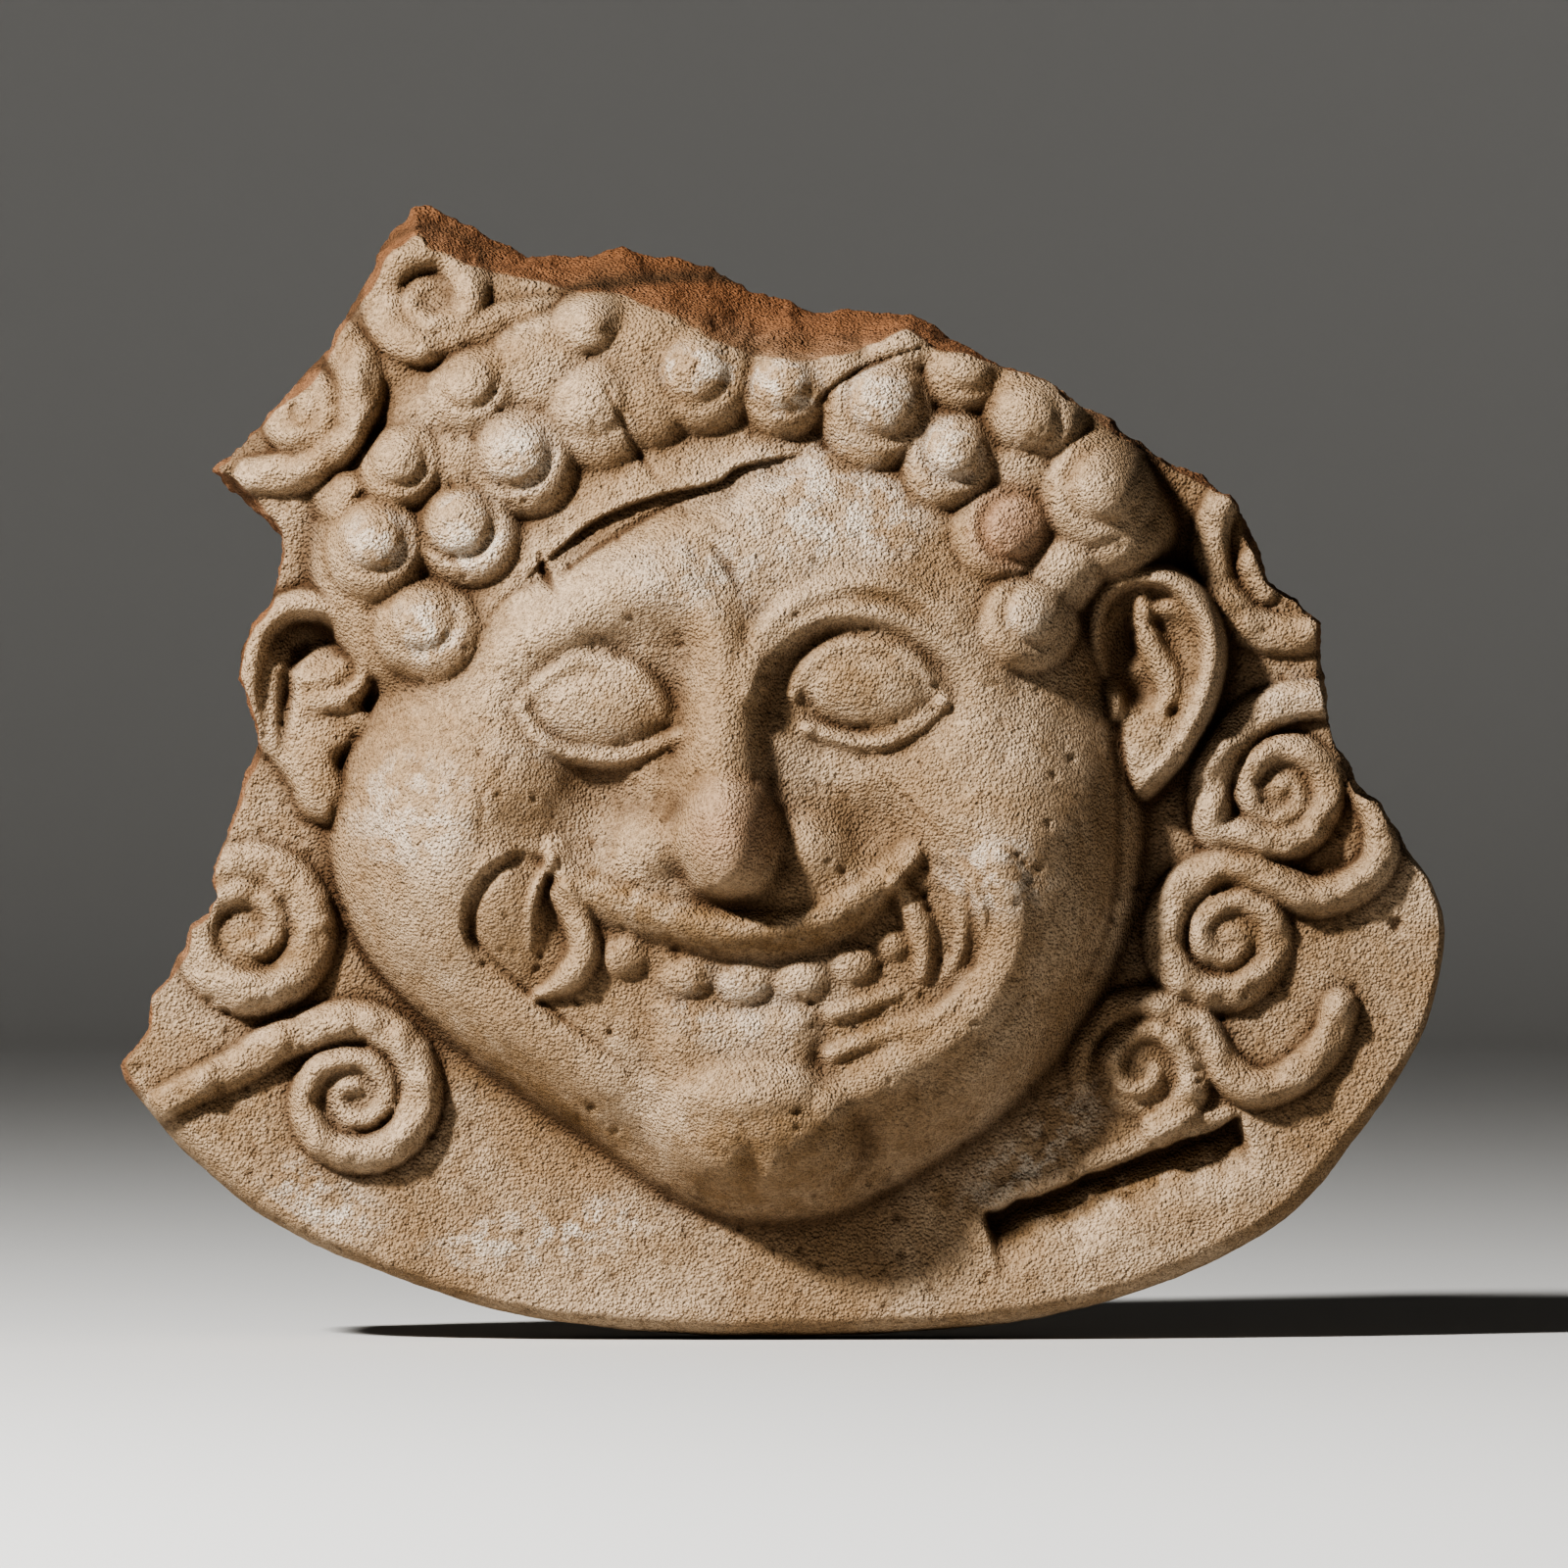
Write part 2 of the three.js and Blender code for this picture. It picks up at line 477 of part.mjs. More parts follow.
function leftEar() {
  const helix = softRidge([[-90.4, 14], [-91, 20], [-90.6, 26], [-88.4, 32], [-82.3, 35.6], [-75.4, 33.6],
    [-70.8, 28.2], [-70.4, 22.6], [-74, 19.6], [-79, 19]], [2.4, 2.9, 3, 2.8, 2],
      [1.6, 3.8, 4.4, 4, 2], 0.65);
  const raised = [
    helix,
    dome([-78.4, 24.8], [5.4, 4.4], 2.4, 0.7),
    dome([-77.6, 7], [6, 9], 1.4, 0.8),
    dome([-70.8, 16.4], [2.8, 2.6], 1.4, 0.8),
  ];
  const sunk = [
    dome([-80, 28.6], [7.6, 5.6], 4, 1),
    softRidge([[-84.8, 10], [-84.4, 17], [-83.6, 24], [-81, 28]], [1.1, 1.7, 1.3], [1.2, 2.8, 1.4], 1),
  ];
  return ear(LEFT_EAR_OUTLINE, 0.64, raised, sunk);
}

// The coiled snakes on the ground: lead-in points by hand, then the coil; widths and rises are shares
const COILS = [
  {
    lead: [[-38, 84.4], [-45.5, 83.2], [-52, 81]],
    coil: [[-59.8, 87.6], [8.4, 8.2, 7.6, 6.2, 4.2, 1.6], -66, -1.5],
    widths: [0.94, 1.06, 1.06, 0.94, 0.67],
    rises: [0.63, 0.89, 0.93, 0.85, 0.67],
  },
  {
    lead: [[-77.8, 83], [-73.4, 77.4], [-71.6, 70.6], [-74, 63], [-81, 58.2], [-90, 57.2]],
    widths: [1, 1.11, 1.06, 0.89],
    rises: [0.67, 1.04, 1, 0.78],
  },
  {
    lead: [],
    coil: [[-82.2, 68.2], [5.4, 4.6, 3, 1], 70, -1.3],
    widths: [0.72, 0.83, 0.72],
    rises: [0.63, 0.85, 0.74],
  },
  {
    lead: [],
    coil: [[-90.4, -20.3], [12.4, 10.6, 9.8, 8.4, 4.6, 2], 120, -1.6],
    widths: [0.89, 1.11, 1.11, 0.94, 0.67],
    rises: [0.78, 0.96, 0.93, 0.81, 0.67],
  },
  {
    lead: [[-108, -51], [-101.3, -47], [-93, -43.2], [-85.6, -38.6]],
    coil: [[-72.5, -47.6], [12.8, 10.8, 9.8, 6.4, 4.9, 3.2, 1.2], 114, -2.05],
    widths: [0.72, 0.94, 1, 1, 0.78, 0.67, 0.56],
    rises: [0.67, 0.96, 1, 0.93, 0.78, 0.7],
  },
  {
    lead: [[97, 18.8], [91, 19.4], [84.6, 18.6], [77.4, 14.6], [72.6, 6.6], [73.2, -2.4]],
    coil: [[84.7, 3.8], [9.4, 7.4, 7.2, 6.6, 4.6, 2.6, 1], 236, 1.55],
    widths: [0.83, 1, 1, 0.83, 0.75, 0.64],
    rises: [0.78, 1, 0.93, 0.85, 0.78, 0.67],
  },
  {
    lead: [[98.6, 4.2], [101.2, -2.5], [100.5, -8.6], [95.8, -12.8], [89.3, -14.2], [82, -11], [75.2, -9]],
    coil: [[75.8, -21.2], [11.8, 11.2, 7.6, 7.2, 5.8, 4, 2.4, 0.9], 118, 1.85],
    widths: [0.78, 0.92, 0.97, 0.94, 0.78, 0.64],
    rises: [0.78, 1, 0.96, 0.89, 0.78, 0.67],
  },
  {
    lead: [[94.2, -32.8], [92.2, -39], [86.6, -44.4], [79.8, -46.6], [74.4, -43], [70.4, -36]],
    coil: [[60.4, -43], [11.2, 10.8, 10.6, 10.2], 46, 0.42],
    widths: [0.86, 0.92, 0.86, 0.56],
    rises: [0.81, 0.96, 0.89, 0.28],
  },
  {
    lead: [],
    coil: [[61, -42.8], [10.4, 7.2, 5.6, 4, 1.6], 284, 1.2],
    widths: [0.83, 0.83, 0.69, 0.56],
    rises: [0.67, 0.93, 0.81, 0.67],
  },
  {
    lead: [[74.6, 53.6], [72.4, 47.5], [72.8, 40], [76.6, 33.4], [83.4, 30.2], [91, 31]],
    widths: [0.81, 1, 0.88],
    rises: [0.63, 0.85, 0.74],
  },
  {
    lead: [[82.6, 46], [80, 42], [81.4, 37.8]],
    widths: [0.67, 0.83, 0.67],
    rises: [0.48, 0.67, 0.48],
  },
];

function snake({ lead, coil, widths, rises }) {
  const turn = coil ? coilAround(...coil) : [];
  const points = coil ? [...lead, turn[0]] : lead;
  const path = lead.length ? [...curveThrough(points), ...turn.slice(1)] : turn;
  const body = ridge(path, widths.map((share) => share * COIL_HALF_WIDTH),
    rises.map((share) => share * COIL_RISE), 0.7);
  if (!coil) {
    return body;
  }
  const [centre, radii] = coil;
  const reach = (0.8 * (radii[0] + radii[1] + radii[2])) / 3;
  return higher(body, dome(centre, [reach, reach], COIL_WEB, 0.6));
}

// Losses and cuts

function slot() {
  const layer = blank();
  const turn = THREE.MathUtils.degToRad(20.3);
  const middle = [57.2, -65.4];
  const [halfLength, halfWidth] = [24, 6.2];
  eachNode(boxRound(middle, middle, 30), (index, x, z) => {
    const [dx, dz] = [x - middle[0], z - middle[1]];
    const along = dx * Math.cos(turn) + dz * Math.sin(turn);
    const across = dz * Math.cos(turn) - dx * Math.sin(turn);
    const ends = ease((halfLength - Math.abs(along)) / 2.4);
    const steep = ease((halfWidth - across) / 1.2);
    const ramp = clamp((across + halfWidth) / (1.7 * halfWidth)) ** 1.5;
    layer[index] = SLOT_DEPTH * ends * steep * ramp;
  });
  return layer;
}

// Clay pushed up beside the slot
function slotRidges() {
  return plus(
    softRidge([[52, -58.6], [60, -55.8], [68, -52.4], [75, -50.8]], [1.8, 1.6, 2.2, 1.4],
      [0.6, 0.5, 1.5, 0.7], 1),
    softRidge([[34.6, -66.6], [38, -64], [44, -61.8]], [1.8, 2, 1.5], [0.6, 1.1, 0.4], 1),
  );
}

// The flake lost from the forehead, below its ragged upper edge
function foreheadFlake() {
  const edge = [[-40.5, 42.6], [-32.2, 49.4], [-21.3, 53.8], [-11.7, 56], [-7.3, 58.8], [2.3, 61], [6.1, 63]];
  const near = follow(curveThrough(edge), [7.5, 7.5]);
  return near.share.map((share, index) => {
    const below = ease(-near.side[index] / 0.7) * ease(1.5 - 1.5 * share);
    const ends = clamp(1 - (Math.abs(near.place[index] - 0.45) / 0.5) ** 4);
    return FLAKE_DEPTH * below * ends;
  });
}

function relief() {
  const curls = soften(CURLS.map(curl).reduce(blended(0.5), blank()), 0.5);
  const head = plus(plus(masses(), faceForms()), curls);
  const ears = higher(rightEar(), leftEar());
  const withEars = combine(head, ears, (a, b) => (b > 0.05 ? blendMax(a, b, 1.2) : a));
  const coils = soften(COILS.map(snake).reduce(higher), 0.6);
  const lying = combine(coils, hairSkirt(), (a, b) => (a > 0.05 ? a + b : 0));
  return minus(plus(higher(withEars, lying), slotRidges()), plus(slot(), foreheadFlake()));
}

// The edge of the piece

// The original rim, from the right break down and round to the left break, with how far its front
// edge is set back
const RIM = [
  [107.5, -8, 1.2], [110.3, -12.2, 1.2], [112.3, -21, 1.4], [109.8, -34.5, 1.5], [105.1, -43.8, 2],
  [97, -55.5, 3], [84, -69.8, 3.5], [60, -81.4, 3.5], [34.3, -87, 3.5], [0.3, -88.8, 3.5],
  [-27.3, -87.7, 3.2], [-52.8, -83.3, 2.6], [-82.7, -71.8, 3.2], [-100, -59.3, 4.5], [-111.9, -45.8, 2],
];
// The broken edge, from the left end of the rim up and round to its right end
const BREAK = [
  [-112.8, -42.7, 1], [-108, -36.3, 1], [-107.7, -31.2, 1], [-104.5, -27.3, 1], [-101.7, -23, 1],
  [-101.3, -19.2, 1], [-98.2, -17.2, 1], [-96.6, -14, 1], [-97.2, -8.8, 1], [-94.7, -2.5, 1],
  [-91.2, 6.3, 1], [-89, 10.8, 1], [-91.2, 19.6, 1], [-93, 23.3, 1], [-91.2, 31, 1], [-87.3, 35.5, 1],
  [-85.4, 44.5, 1], [-86, 47.7, 1.2], [-90.5, 52.2, 1.5], [-97.5, 58.5, 1.5], [-92.5, 63, 1.2],
  [-86.7, 68.7, 1], [-81.3, 73.8, 1], [-76.5, 80.2, 1], [-72.7, 87.2, 1.2], [-68.8, 94.8, 2],
  [-63.7, 103.5, 6], [-61.7, 103.2, 7], [-55.5, 101.2, 7], [-51.7, 98, 6], [-44, 94.8, 4.5],
  [-34, 94.5, 6.5], [-27.7, 96, 8], [-23.2, 94.5, 8], [-16.7, 93.3, 10], [-11.7, 92, 11.5],
  [-5.3, 89.7, 12], [1, 87.8, 12], [7.3, 85.6, 10], [12.5, 85, 7.5], [17.6, 84.3, 4.5], [21.4, 85.1, 3.5],
  [26.2, 82, 4], [33.3, 78.2, 2], [42.2, 74.3, 1], [53, 67.3, 1], [60.7, 63.2, 1], [71.5, 56.5, 1],
  [76.6, 53, 1], [79.2, 46.9, 1], [82.3, 39.9, 1], [87.5, 36.1, 1], [90.7, 32.3, 1], [91.9, 20.8, 1],
  [94.2, 11.8, 1], [97.7, 4.2, 1], [101.6, 1.2, 1], [104.5, -3.6, 1],
];

// The whole edge, counterclockwise as seen from the front
function edgePoints() {
  const steps = 40;
  const places = new THREE.CatmullRomCurve3(RIM.map((point) => new THREE.Vector3(...point)));
  const rim = places.getPoints(steps).map(({ x, y, z }) => ({ x, z: y, inset: z, depth: RIM_DEPTH }));
  const broken = BREAK.map(([x, z, inset]) => ({ x, z, inset, depth: BREAK_DEPTH }));
  return [...rim, ...broken].reverse();
}

// The cutting body: rings of the edge from the back to well in front, closed at both ends
function edgeBody(heightAt) {
  const points = edgePoints();
  const count = points.length;
  const shifted = (amount) => points.map((point, index) => {
    const [before, after] = [points[(index + count - 2) % count], points[(index + 2) % count]];
    const length = Math.hypot(after.x - before.x, after.z - before.z);
    const share = amount(point) / length;
    return [point.x - (after.z - before.z) * share, point.z + (after.x - before.x) * share];
  });
  const front = shifted(({ inset }) => inset);
  const rings = [
    shifted(() => BACK_BEVEL).map(([x, z]) => [x, 0, z]),
    points.map(({ x, z, depth }) => [x, -depth, z]),
    front.map(([x, z]) => [x, -PLATE - heightAt(x, z), z]),
    front.map(([x, z]) => [x, -FRONT_REACH, z]),
  ];
  const faces = [];
  for (let ring = 0; ring + 1 < rings.length; ring += 1) {
    for (let index = 0; index < count; index += 1) {
      const [a, b] = [ring * count + index, ring * count + ((index + 1) % count)];
      faces.push([a, b, b + count], [a, b + count, a + count]);
    }
  }
  const cap = (ring, towardFront) => {
    const flat = rings[ring].map(([x, , z]) => new THREE.Vector2(x, z));
    for (const corners of THREE.ShapeUtils.triangulateShape(flat, [])) {
      const front = THREE.ShapeUtils.area(corners.map((corner) => flat[corner])) > 0;
      const face = corners.map((corner) => ring * count + corner);
      faces.push(front === towardFront ? face : face.reverse());
    }
  };
  cap(0, false);
  cap(rings.length - 1, true);
  return indexed(rings.flat().flatMap(([x, y, z]) => [x * SCALE, y, z * SCALE]), faces);
}

// How steep the relief is at each node, rise over run
function slopeOf(heights) {
  const slopes = blank();
  eachNode(EVERYWHERE, (index) => {
    const [column, row] = [index % NODES, Math.floor(index / NODES)];
    const right = heights[index + (column < CELLS ? 1 : 0)] - heights[index - (column > 0 ? 1 : 0)];
    const up = heights[index + (row < CELLS ? NODES : 0)] - heights[index - (row > 0 ? NODES : 0)];
    slopes[index] = Math.hypot(right, up) / 2;
  });
  return slopes;
}

// The block of clay behind the relief: right-angled triangles, halved wherever the relief asks for it
function reliefBlock(heights) {
  const at = ([column, row]) => row * NODES + column;
  const between = (a, b) => [(a[0] + b[0]) / 2, (a[1] + b[1]) / 2];
  const halves = ([a, b, c], middle) => [[c, a, middle], [b, c, middle]];
  const roots = [[[0, 0], [CELLS, CELLS], [CELLS, 0]], [[CELLS, CELLS], [0, 0], [0, CELLS]]];
  const deepest = 2 * Math.log2(CELLS);
  const errors = blank();
  const slopes = slopeOf(heights);
  // The error at a long edge's middle covers every finer triangle that meets there
  const measure = (triangle, depth, level) => {
    const [a, b, c] = triangle;
    const middle = between(a, b);
    if (depth < level) {
      halves(triangle, middle).forEach((half) => measure(half, depth + 1, level));
      return;
    }
    const drop = Math.abs(heights[at(middle)] - (heights[at(a)] + heights[at(b)]) / 2);
    const own = drop / Math.hypot(1, slopes[at(middle)]);
    const finer = level + 1 < deepest ? [errors[at(between(a, c))], errors[at(between(b, c))]] : [];
    errors[at(middle)] = Math.max(errors[at(middle)], own, ...finer);
  };
  for (let level = deepest - 1; level >= 0; level -= 1) {
    roots.forEach((root) => measure(root, 0, level));
  }
  const triangles = [];
  const emit = (triangle, depth) => {
    const [a, b, c] = triangle;
    const middle = between(a, b);
    if (depth < deepest && errors[at(middle)] > DETAIL) {
      halves(triangle, middle).forEach((half) => emit(half, depth + 1));
      return;
    }
    triangles.push([a, c, b]);
  };
  roots.forEach((root) => emit(root, 0));
  return closeBehind(triangles, heights);
}

// Closes the relief's triangles into a block that reaches behind the back
function closeBehind(triangles, heights) {
  const behind = 5;
  const positions = [];
  const index = new Map();
  const vertex = (column, row, onBack) => {
    const key = (row * NODES + column) * 2 + (onBack ? 1 : 0);
    if (!index.has(key)) {
      index.set(key, positions.length / 3);
      const depth = onBack ? behind : -(PLATE + heights[row * NODES + column]);
      positions.push((CORNER.x + column) * SCALE, depth, (CORNER.z + row) * SCALE);
    }
    return index.get(key);
  };
  const faces = [];
  const border = [];
  for (const triangle of triangles) {
    faces.push(triangle.map(([column, row]) => vertex(column, row, false)));
    triangle.forEach((from, corner) => {
      const to = triangle[(corner + 1) % 3];
      const onEdge = [0, 1].some((axis) => from[axis] === to[axis] && [0, CELLS].includes(from[axis]));
      if (onEdge) {
        border.push([from, to]);
      }
    });
  }
  const centre = positions.length / 3;
  positions.push((CORNER.x + CELLS / 2) * SCALE, behind, (CORNER.z + CELLS / 2) * SCALE);
  for (const [from, to] of border) {
    const [a, b] = [vertex(...from, false), vertex(...to, false)];
    const [c, d] = [vertex(...to, true), vertex(...from, true)];
    faces.push([b, a, d], [b, d, c], [c, d, centre]);
  }
  return indexed(positions, faces);
}

function indexed(positions, faces) {
  const geometry = new THREE.BufferGeometry();
  geometry.setAttribute("position", new THREE.Float32BufferAttribute(positions, 3));
  geometry.setIndex(faces.flat());
  return geometry;
}

const wasm = await Module();
wasm.setup();

function toSolid(geometry) {
  const merged = mergeVertices(geometry, 1e-4);
  const mesh = new wasm.Mesh({
    numProp: 3,
    vertProperties: new Float32Array(merged.attributes.position.array),
    triVerts: new Uint32Array(merged.index.array),
  });
  return new wasm.Manifold(mesh);
}

function toGeometry(solid) {
  const { vertProperties, triVerts } = solid.getMesh();
  const geometry = new THREE.BufferGeometry();
  geometry.setAttribute("position", new THREE.BufferAttribute(vertProperties, 3));
  geometry.setIndex(new THREE.BufferAttribute(triVerts, 1));
  geometry.computeVertexNormals();
  return geometry;
}

function antefix() {
  const heights = relief();
  const heightAt = (x, z) => heights[Math.round(z - CORNER.z) * NODES + Math.round(x - CORNER.x)];
  const block = toSolid(reliefBlock(heights));
  const edge = toSolid(edgeBody(heightAt));
  const clay = new THREE.MeshStandardMaterial({ color: "#c2a07a", roughness: 0.95, metalness: 0 });
  const mesh = new THREE.Mesh(toGeometry(block.intersect(edge)), clay);
  mesh.name = "antefix";
  return mesh;
}

const group = new THREE.Group();
group.add(antefix());

export default group;
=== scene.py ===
"""Broken terracotta antefix with a gorgon mask, carved finely and dressed for the camera.

The carving is drawn in plan in millimetres, as (x, z) seen from the front, with every rise over the
ground of the plate. The frame's own box gives the scale, and the finished mesh is in metres.
"""
from __future__ import annotations

import logging
import math
from dataclasses import dataclass
from enum import Enum
from typing import Sequence

import bmesh
import bpy
import numpy as np
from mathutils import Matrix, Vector, noise


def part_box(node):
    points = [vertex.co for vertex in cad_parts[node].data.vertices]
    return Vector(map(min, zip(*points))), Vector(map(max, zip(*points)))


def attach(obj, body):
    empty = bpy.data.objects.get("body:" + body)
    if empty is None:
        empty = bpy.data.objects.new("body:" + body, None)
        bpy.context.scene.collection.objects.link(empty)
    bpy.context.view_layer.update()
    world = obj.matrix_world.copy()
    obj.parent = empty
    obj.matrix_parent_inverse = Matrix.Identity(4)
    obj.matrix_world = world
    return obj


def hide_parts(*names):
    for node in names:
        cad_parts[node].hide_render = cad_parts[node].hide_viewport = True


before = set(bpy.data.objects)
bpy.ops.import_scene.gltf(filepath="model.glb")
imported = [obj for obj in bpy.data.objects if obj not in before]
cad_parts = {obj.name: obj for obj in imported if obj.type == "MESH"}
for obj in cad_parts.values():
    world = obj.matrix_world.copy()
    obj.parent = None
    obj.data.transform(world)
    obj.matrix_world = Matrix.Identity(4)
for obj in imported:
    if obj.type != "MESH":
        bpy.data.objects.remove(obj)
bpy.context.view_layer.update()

log = logging.getLogger("antefix")

Point = tuple[float, float]
Layer = np.ndarray
Socket = bpy.types.NodeSocket

MM = 0.001
DRAWN_WIDTH = 225.1  # the plan's own width, from the left break to the right rim
PLATE = 20.0  # clay behind the ground of the relief
TRIANGLES = 192000  # the finished carving holds about this many
SEED = 27


def smooth_run(points: Sequence[Point], closed: bool = False, steps: int = 6) -> np.ndarray:
    """Run a smooth curve through points.

    Args:
        points: Points of the plan, in order.
        closed: Whether the run joins its own start.
        steps: Pieces between two points.

    Returns:
        The points of the run, one row each.
    """
    p = np.array(points, float)
    count = len(p)
    out = []
    for i in range(count if closed else count - 1):
        if closed:
            a, b, c, d = p[i - 1], p[i], p[(i + 1) % count], p[(i + 2) % count]
        else:
            a, b, c, d = p[max(i - 1, 0)], p[i], p[i + 1], p[min(i + 2, count - 1)]
        for t in np.arange(steps) / steps:
            bend = 2 * a - 5 * b + 4 * c - d + t * (3 * b - a - 3 * c + d)
            out.append(b + 0.5 * t * (c - a + t * bend))
    if not closed:
        out.append(p[-1])
    return np.array(out)


def coil_run(centre: Point, radii: Sequence[float], start: float, turns: float) -> np.ndarray:
    """Wind a coil.

    Args:
        centre: Middle of the coil.
        radii: Its radius, spread evenly along it.
        start: Angle of its outer end, in degrees.
        turns: Number of turns, counterclockwise when positive.

    Returns:
        The points of the coil from outside in.
    """
    place = np.linspace(0, 1, max(10, int(abs(turns) * 24)))
    angle = np.radians(start + 360 * turns * place)
    radius = np.interp(place, np.linspace(0, 1, len(radii)), radii)
    return np.stack([centre[0] + radius * np.cos(angle), centre[1] + radius * np.sin(angle)], 1)


def ease(value: Layer) -> Layer:
    """Turn a ramp from 0 to 1 into a soft step."""
    t = np.clip(value, 0, 1)
    return t * t * (3 - 2 * t)


def blend_max(a: Layer, b: Layer, size: float) -> Layer:
    """Take the higher of two layers, rounded over a size where they meet."""
    share = np.clip(0.5 + 0.5 * (a - b) / size, 0, 1)
    return b + (a - b) * share + size * share * (1 - share)


class Clay:
    """The clay's front as a grid of heights, in millimetres."""

    def __init__(self, left: float, right: float, low: float, high: float, pitch: float) -> None:
        """Lay out the grid between four limits at a pitch.

        Args:
            left: Least place across.
            right: Greatest place across.
            low: Least place up.
            high: Greatest place up.
            pitch: Step of the grid.
        """
        self.pitch = pitch
        self.x = np.arange(left, right + pitch / 2, pitch)
        self.z = np.arange(low, high + pitch / 2, pitch)
        self.shape = (len(self.z), len(self.x))

    def blank(self) -> Layer:
        """Return a layer of zeros."""
        return np.zeros(self.shape)

    def window(self, left: float, right: float, low: float, high: float) -> tuple[slice, slice]:
        """Return the slices of rows and columns that cover a box.

        Args:
            left: Least place across.
            right: Greatest place across.
            low: Least place up.
            high: Greatest place up.

        Returns:
            The slice of rows and the slice of columns.
        """
        columns = [max(0, int((v - self.x[0]) / self.pitch) + k) for v, k in ((left, 0), (right, 2))]
        rows = [max(0, int((v - self.z[0]) / self.pitch) + k) for v, k in ((low, 0), (high, 2))]
        return slice(*rows), slice(*columns)

    def beside(self, a: np.ndarray, b: np.ndarray, reach: float) -> tuple[slice, slice]:
        """Return the slices that cover the straight piece from a to b, and a reach round it."""
        (left, low), (right, high) = np.minimum(a, b) - reach, np.maximum(a, b) + reach
        return self.window(left, right, low, high)

    def soften(self, layer: Layer, size: float) -> Layer:
        """Round a layer off as a thumb would.

        Args:
            layer: Heights to soften.
            size: Reach of the softening in millimetres.

        Returns:
            The softened layer.
        """
        spread = size / self.pitch
        reach = int(math.ceil(3 * spread))
        weights = np.exp(-0.5 * (np.arange(-reach, reach + 1) / spread) ** 2)
        weights /= weights.sum()
        for axis in (0, 1):
            pad = [(0, 0), (0, 0)]
            pad[axis] = (reach, reach)
            wide = np.pad(layer, pad, mode="edge")
            count = layer.shape[axis]
            shifts = (wide[m:m + count] if axis == 0 else wide[:, m:m + count] for m in range(len(weights)))
            layer = sum(w * shifted for w, shifted in zip(weights, shifts))
        return layer

    def follow(self, path: np.ndarray, half_widths: Sequence[float]) -> tuple[Layer, Layer, Layer]:
        """Measure every node against a path.

        Args:
            path: Points of the path.
            half_widths: Half widths spread evenly along it.

        Returns:
            Distance as a share of the half width, place along the path, and signed distance.
        """
        spans = np.hypot(*(path[1:] - path[:-1]).T)
        run = np.concatenate([[0], np.cumsum(spans)]) / max(spans.sum(), 1e-9)
        wide = np.interp(run, np.linspace(0, 1, len(half_widths)), half_widths)
        share = np.full(self.shape, 9.0)
        place, side = self.blank(), self.blank()
        for i in range(len(path) - 1):
            (ax, az), (bx, bz) = path[i], path[i + 1]
            box = self.beside(path[i], path[i + 1], max(wide[i], wide[i + 1]))
            x, z = self.x[box[1]][None, :] - ax, self.z[box[0]][:, None] - az
            if x.size == 0 or z.size == 0:
                continue
            dx, dz = bx - ax, bz - az
            t = np.clip((x * dx + z * dz) / (dx * dx + dz * dz + 1e-12), 0, 1)
            away = np.hypot(x - t * dx, z - t * dz)
            now = away / (wide[i] + (wide[i + 1] - wide[i]) * t)
            near = now < share[box]
            share[box][near] = now[near]
            place[box][near] = (run[i] + (run[i + 1] - run[i]) * t)[near]
            side[box][near] = (np.sign(dx * z - dz * x) * away)[near]
        return share, place, side

    def inside(self, path: np.ndarray, reach: float) -> Layer:
        """Measure how far each node lies inside a closed path.

        Args:
            path: Points of the closed path, without the first repeated.
            reach: Distance past which it isn't measured.

        Returns:
            Distance inside, up to the reach, and minus the distance outside.
        """
        ring = np.vstack([path, path[:1]])
        best = np.full(self.shape, float(reach))
        within = np.zeros(self.shape, bool)
        for a, b in zip(ring[:-1], ring[1:]):
            (ax, az), (bx, bz) = a, b
            box = self.beside(a, b, reach)
            x, z = self.x[box[1]][None, :] - ax, self.z[box[0]][:, None] - az
            dx, dz = bx - ax, bz - az
            t = np.clip((x * dx + z * dz) / (dx * dx + dz * dz + 1e-12), 0, 1)
            best[box] = np.minimum(best[box], np.hypot(x - t * dx, z - t * dz))
            if az != bz:
                rows = (self.z > min(az, bz)) & (self.z <= max(az, bz))
                crossing = ax + (self.z[rows] - az) * dx / dz
                within[rows] ^= self.x[None, :] < crossing[:, None]
        return np.where(within, best, -best)

    def mass(self, outline: Sequence[Point], rise: float, wall: float, fullness: float = 2.0) -> Layer:
        """Raise a mass with a rolled edge.

        Args:
            outline: Points of its closed outline.
            rise: Height of its flat middle.
            wall: Width of its rolled edge.
            fullness: 2 for a quarter round, more for a squarer shoulder.

        Returns:
            The mass as a layer.
        """
        depth = self.inside(smooth_run(outline, closed=True), wall)
        short = np.clip(1 - depth / wall, 0, 1)
        return np.where(depth > 0, rise * (1 - short ** fullness) ** (1 / fullness), 0.0)

    def grain(self, rng: np.random.Generator, size: float) -> Layer:
        """Return even random lumps of a size, about one high."""
        lumps = self.soften(rng.normal(size=self.shape), size)
        return lumps / lumps.std()

    def read(self, layer: Layer, x: np.ndarray, z: np.ndarray) -> np.ndarray:
        """Read a layer between its nodes.

        Args:
            layer: Layer to read.
            x: Places across, in millimetres.
            z: Places up, in millimetres.

        Returns:
            The layer's value at each place.
        """
        u = np.clip((x - self.x[0]) / self.pitch, 0, len(self.x) - 1.001)
        v = np.clip((z - self.z[0]) / self.pitch, 0, len(self.z) - 1.001)
        i, j = u.astype(int), v.astype(int)
        fu, fv = u - i, v - j
        low = layer[j, i] * (1 - fu) + layer[j, i + 1] * fu
        high = layer[j + 1, i] * (1 - fu) + layer[j + 1, i + 1] * fu
        return low * (1 - fv) + high * fv


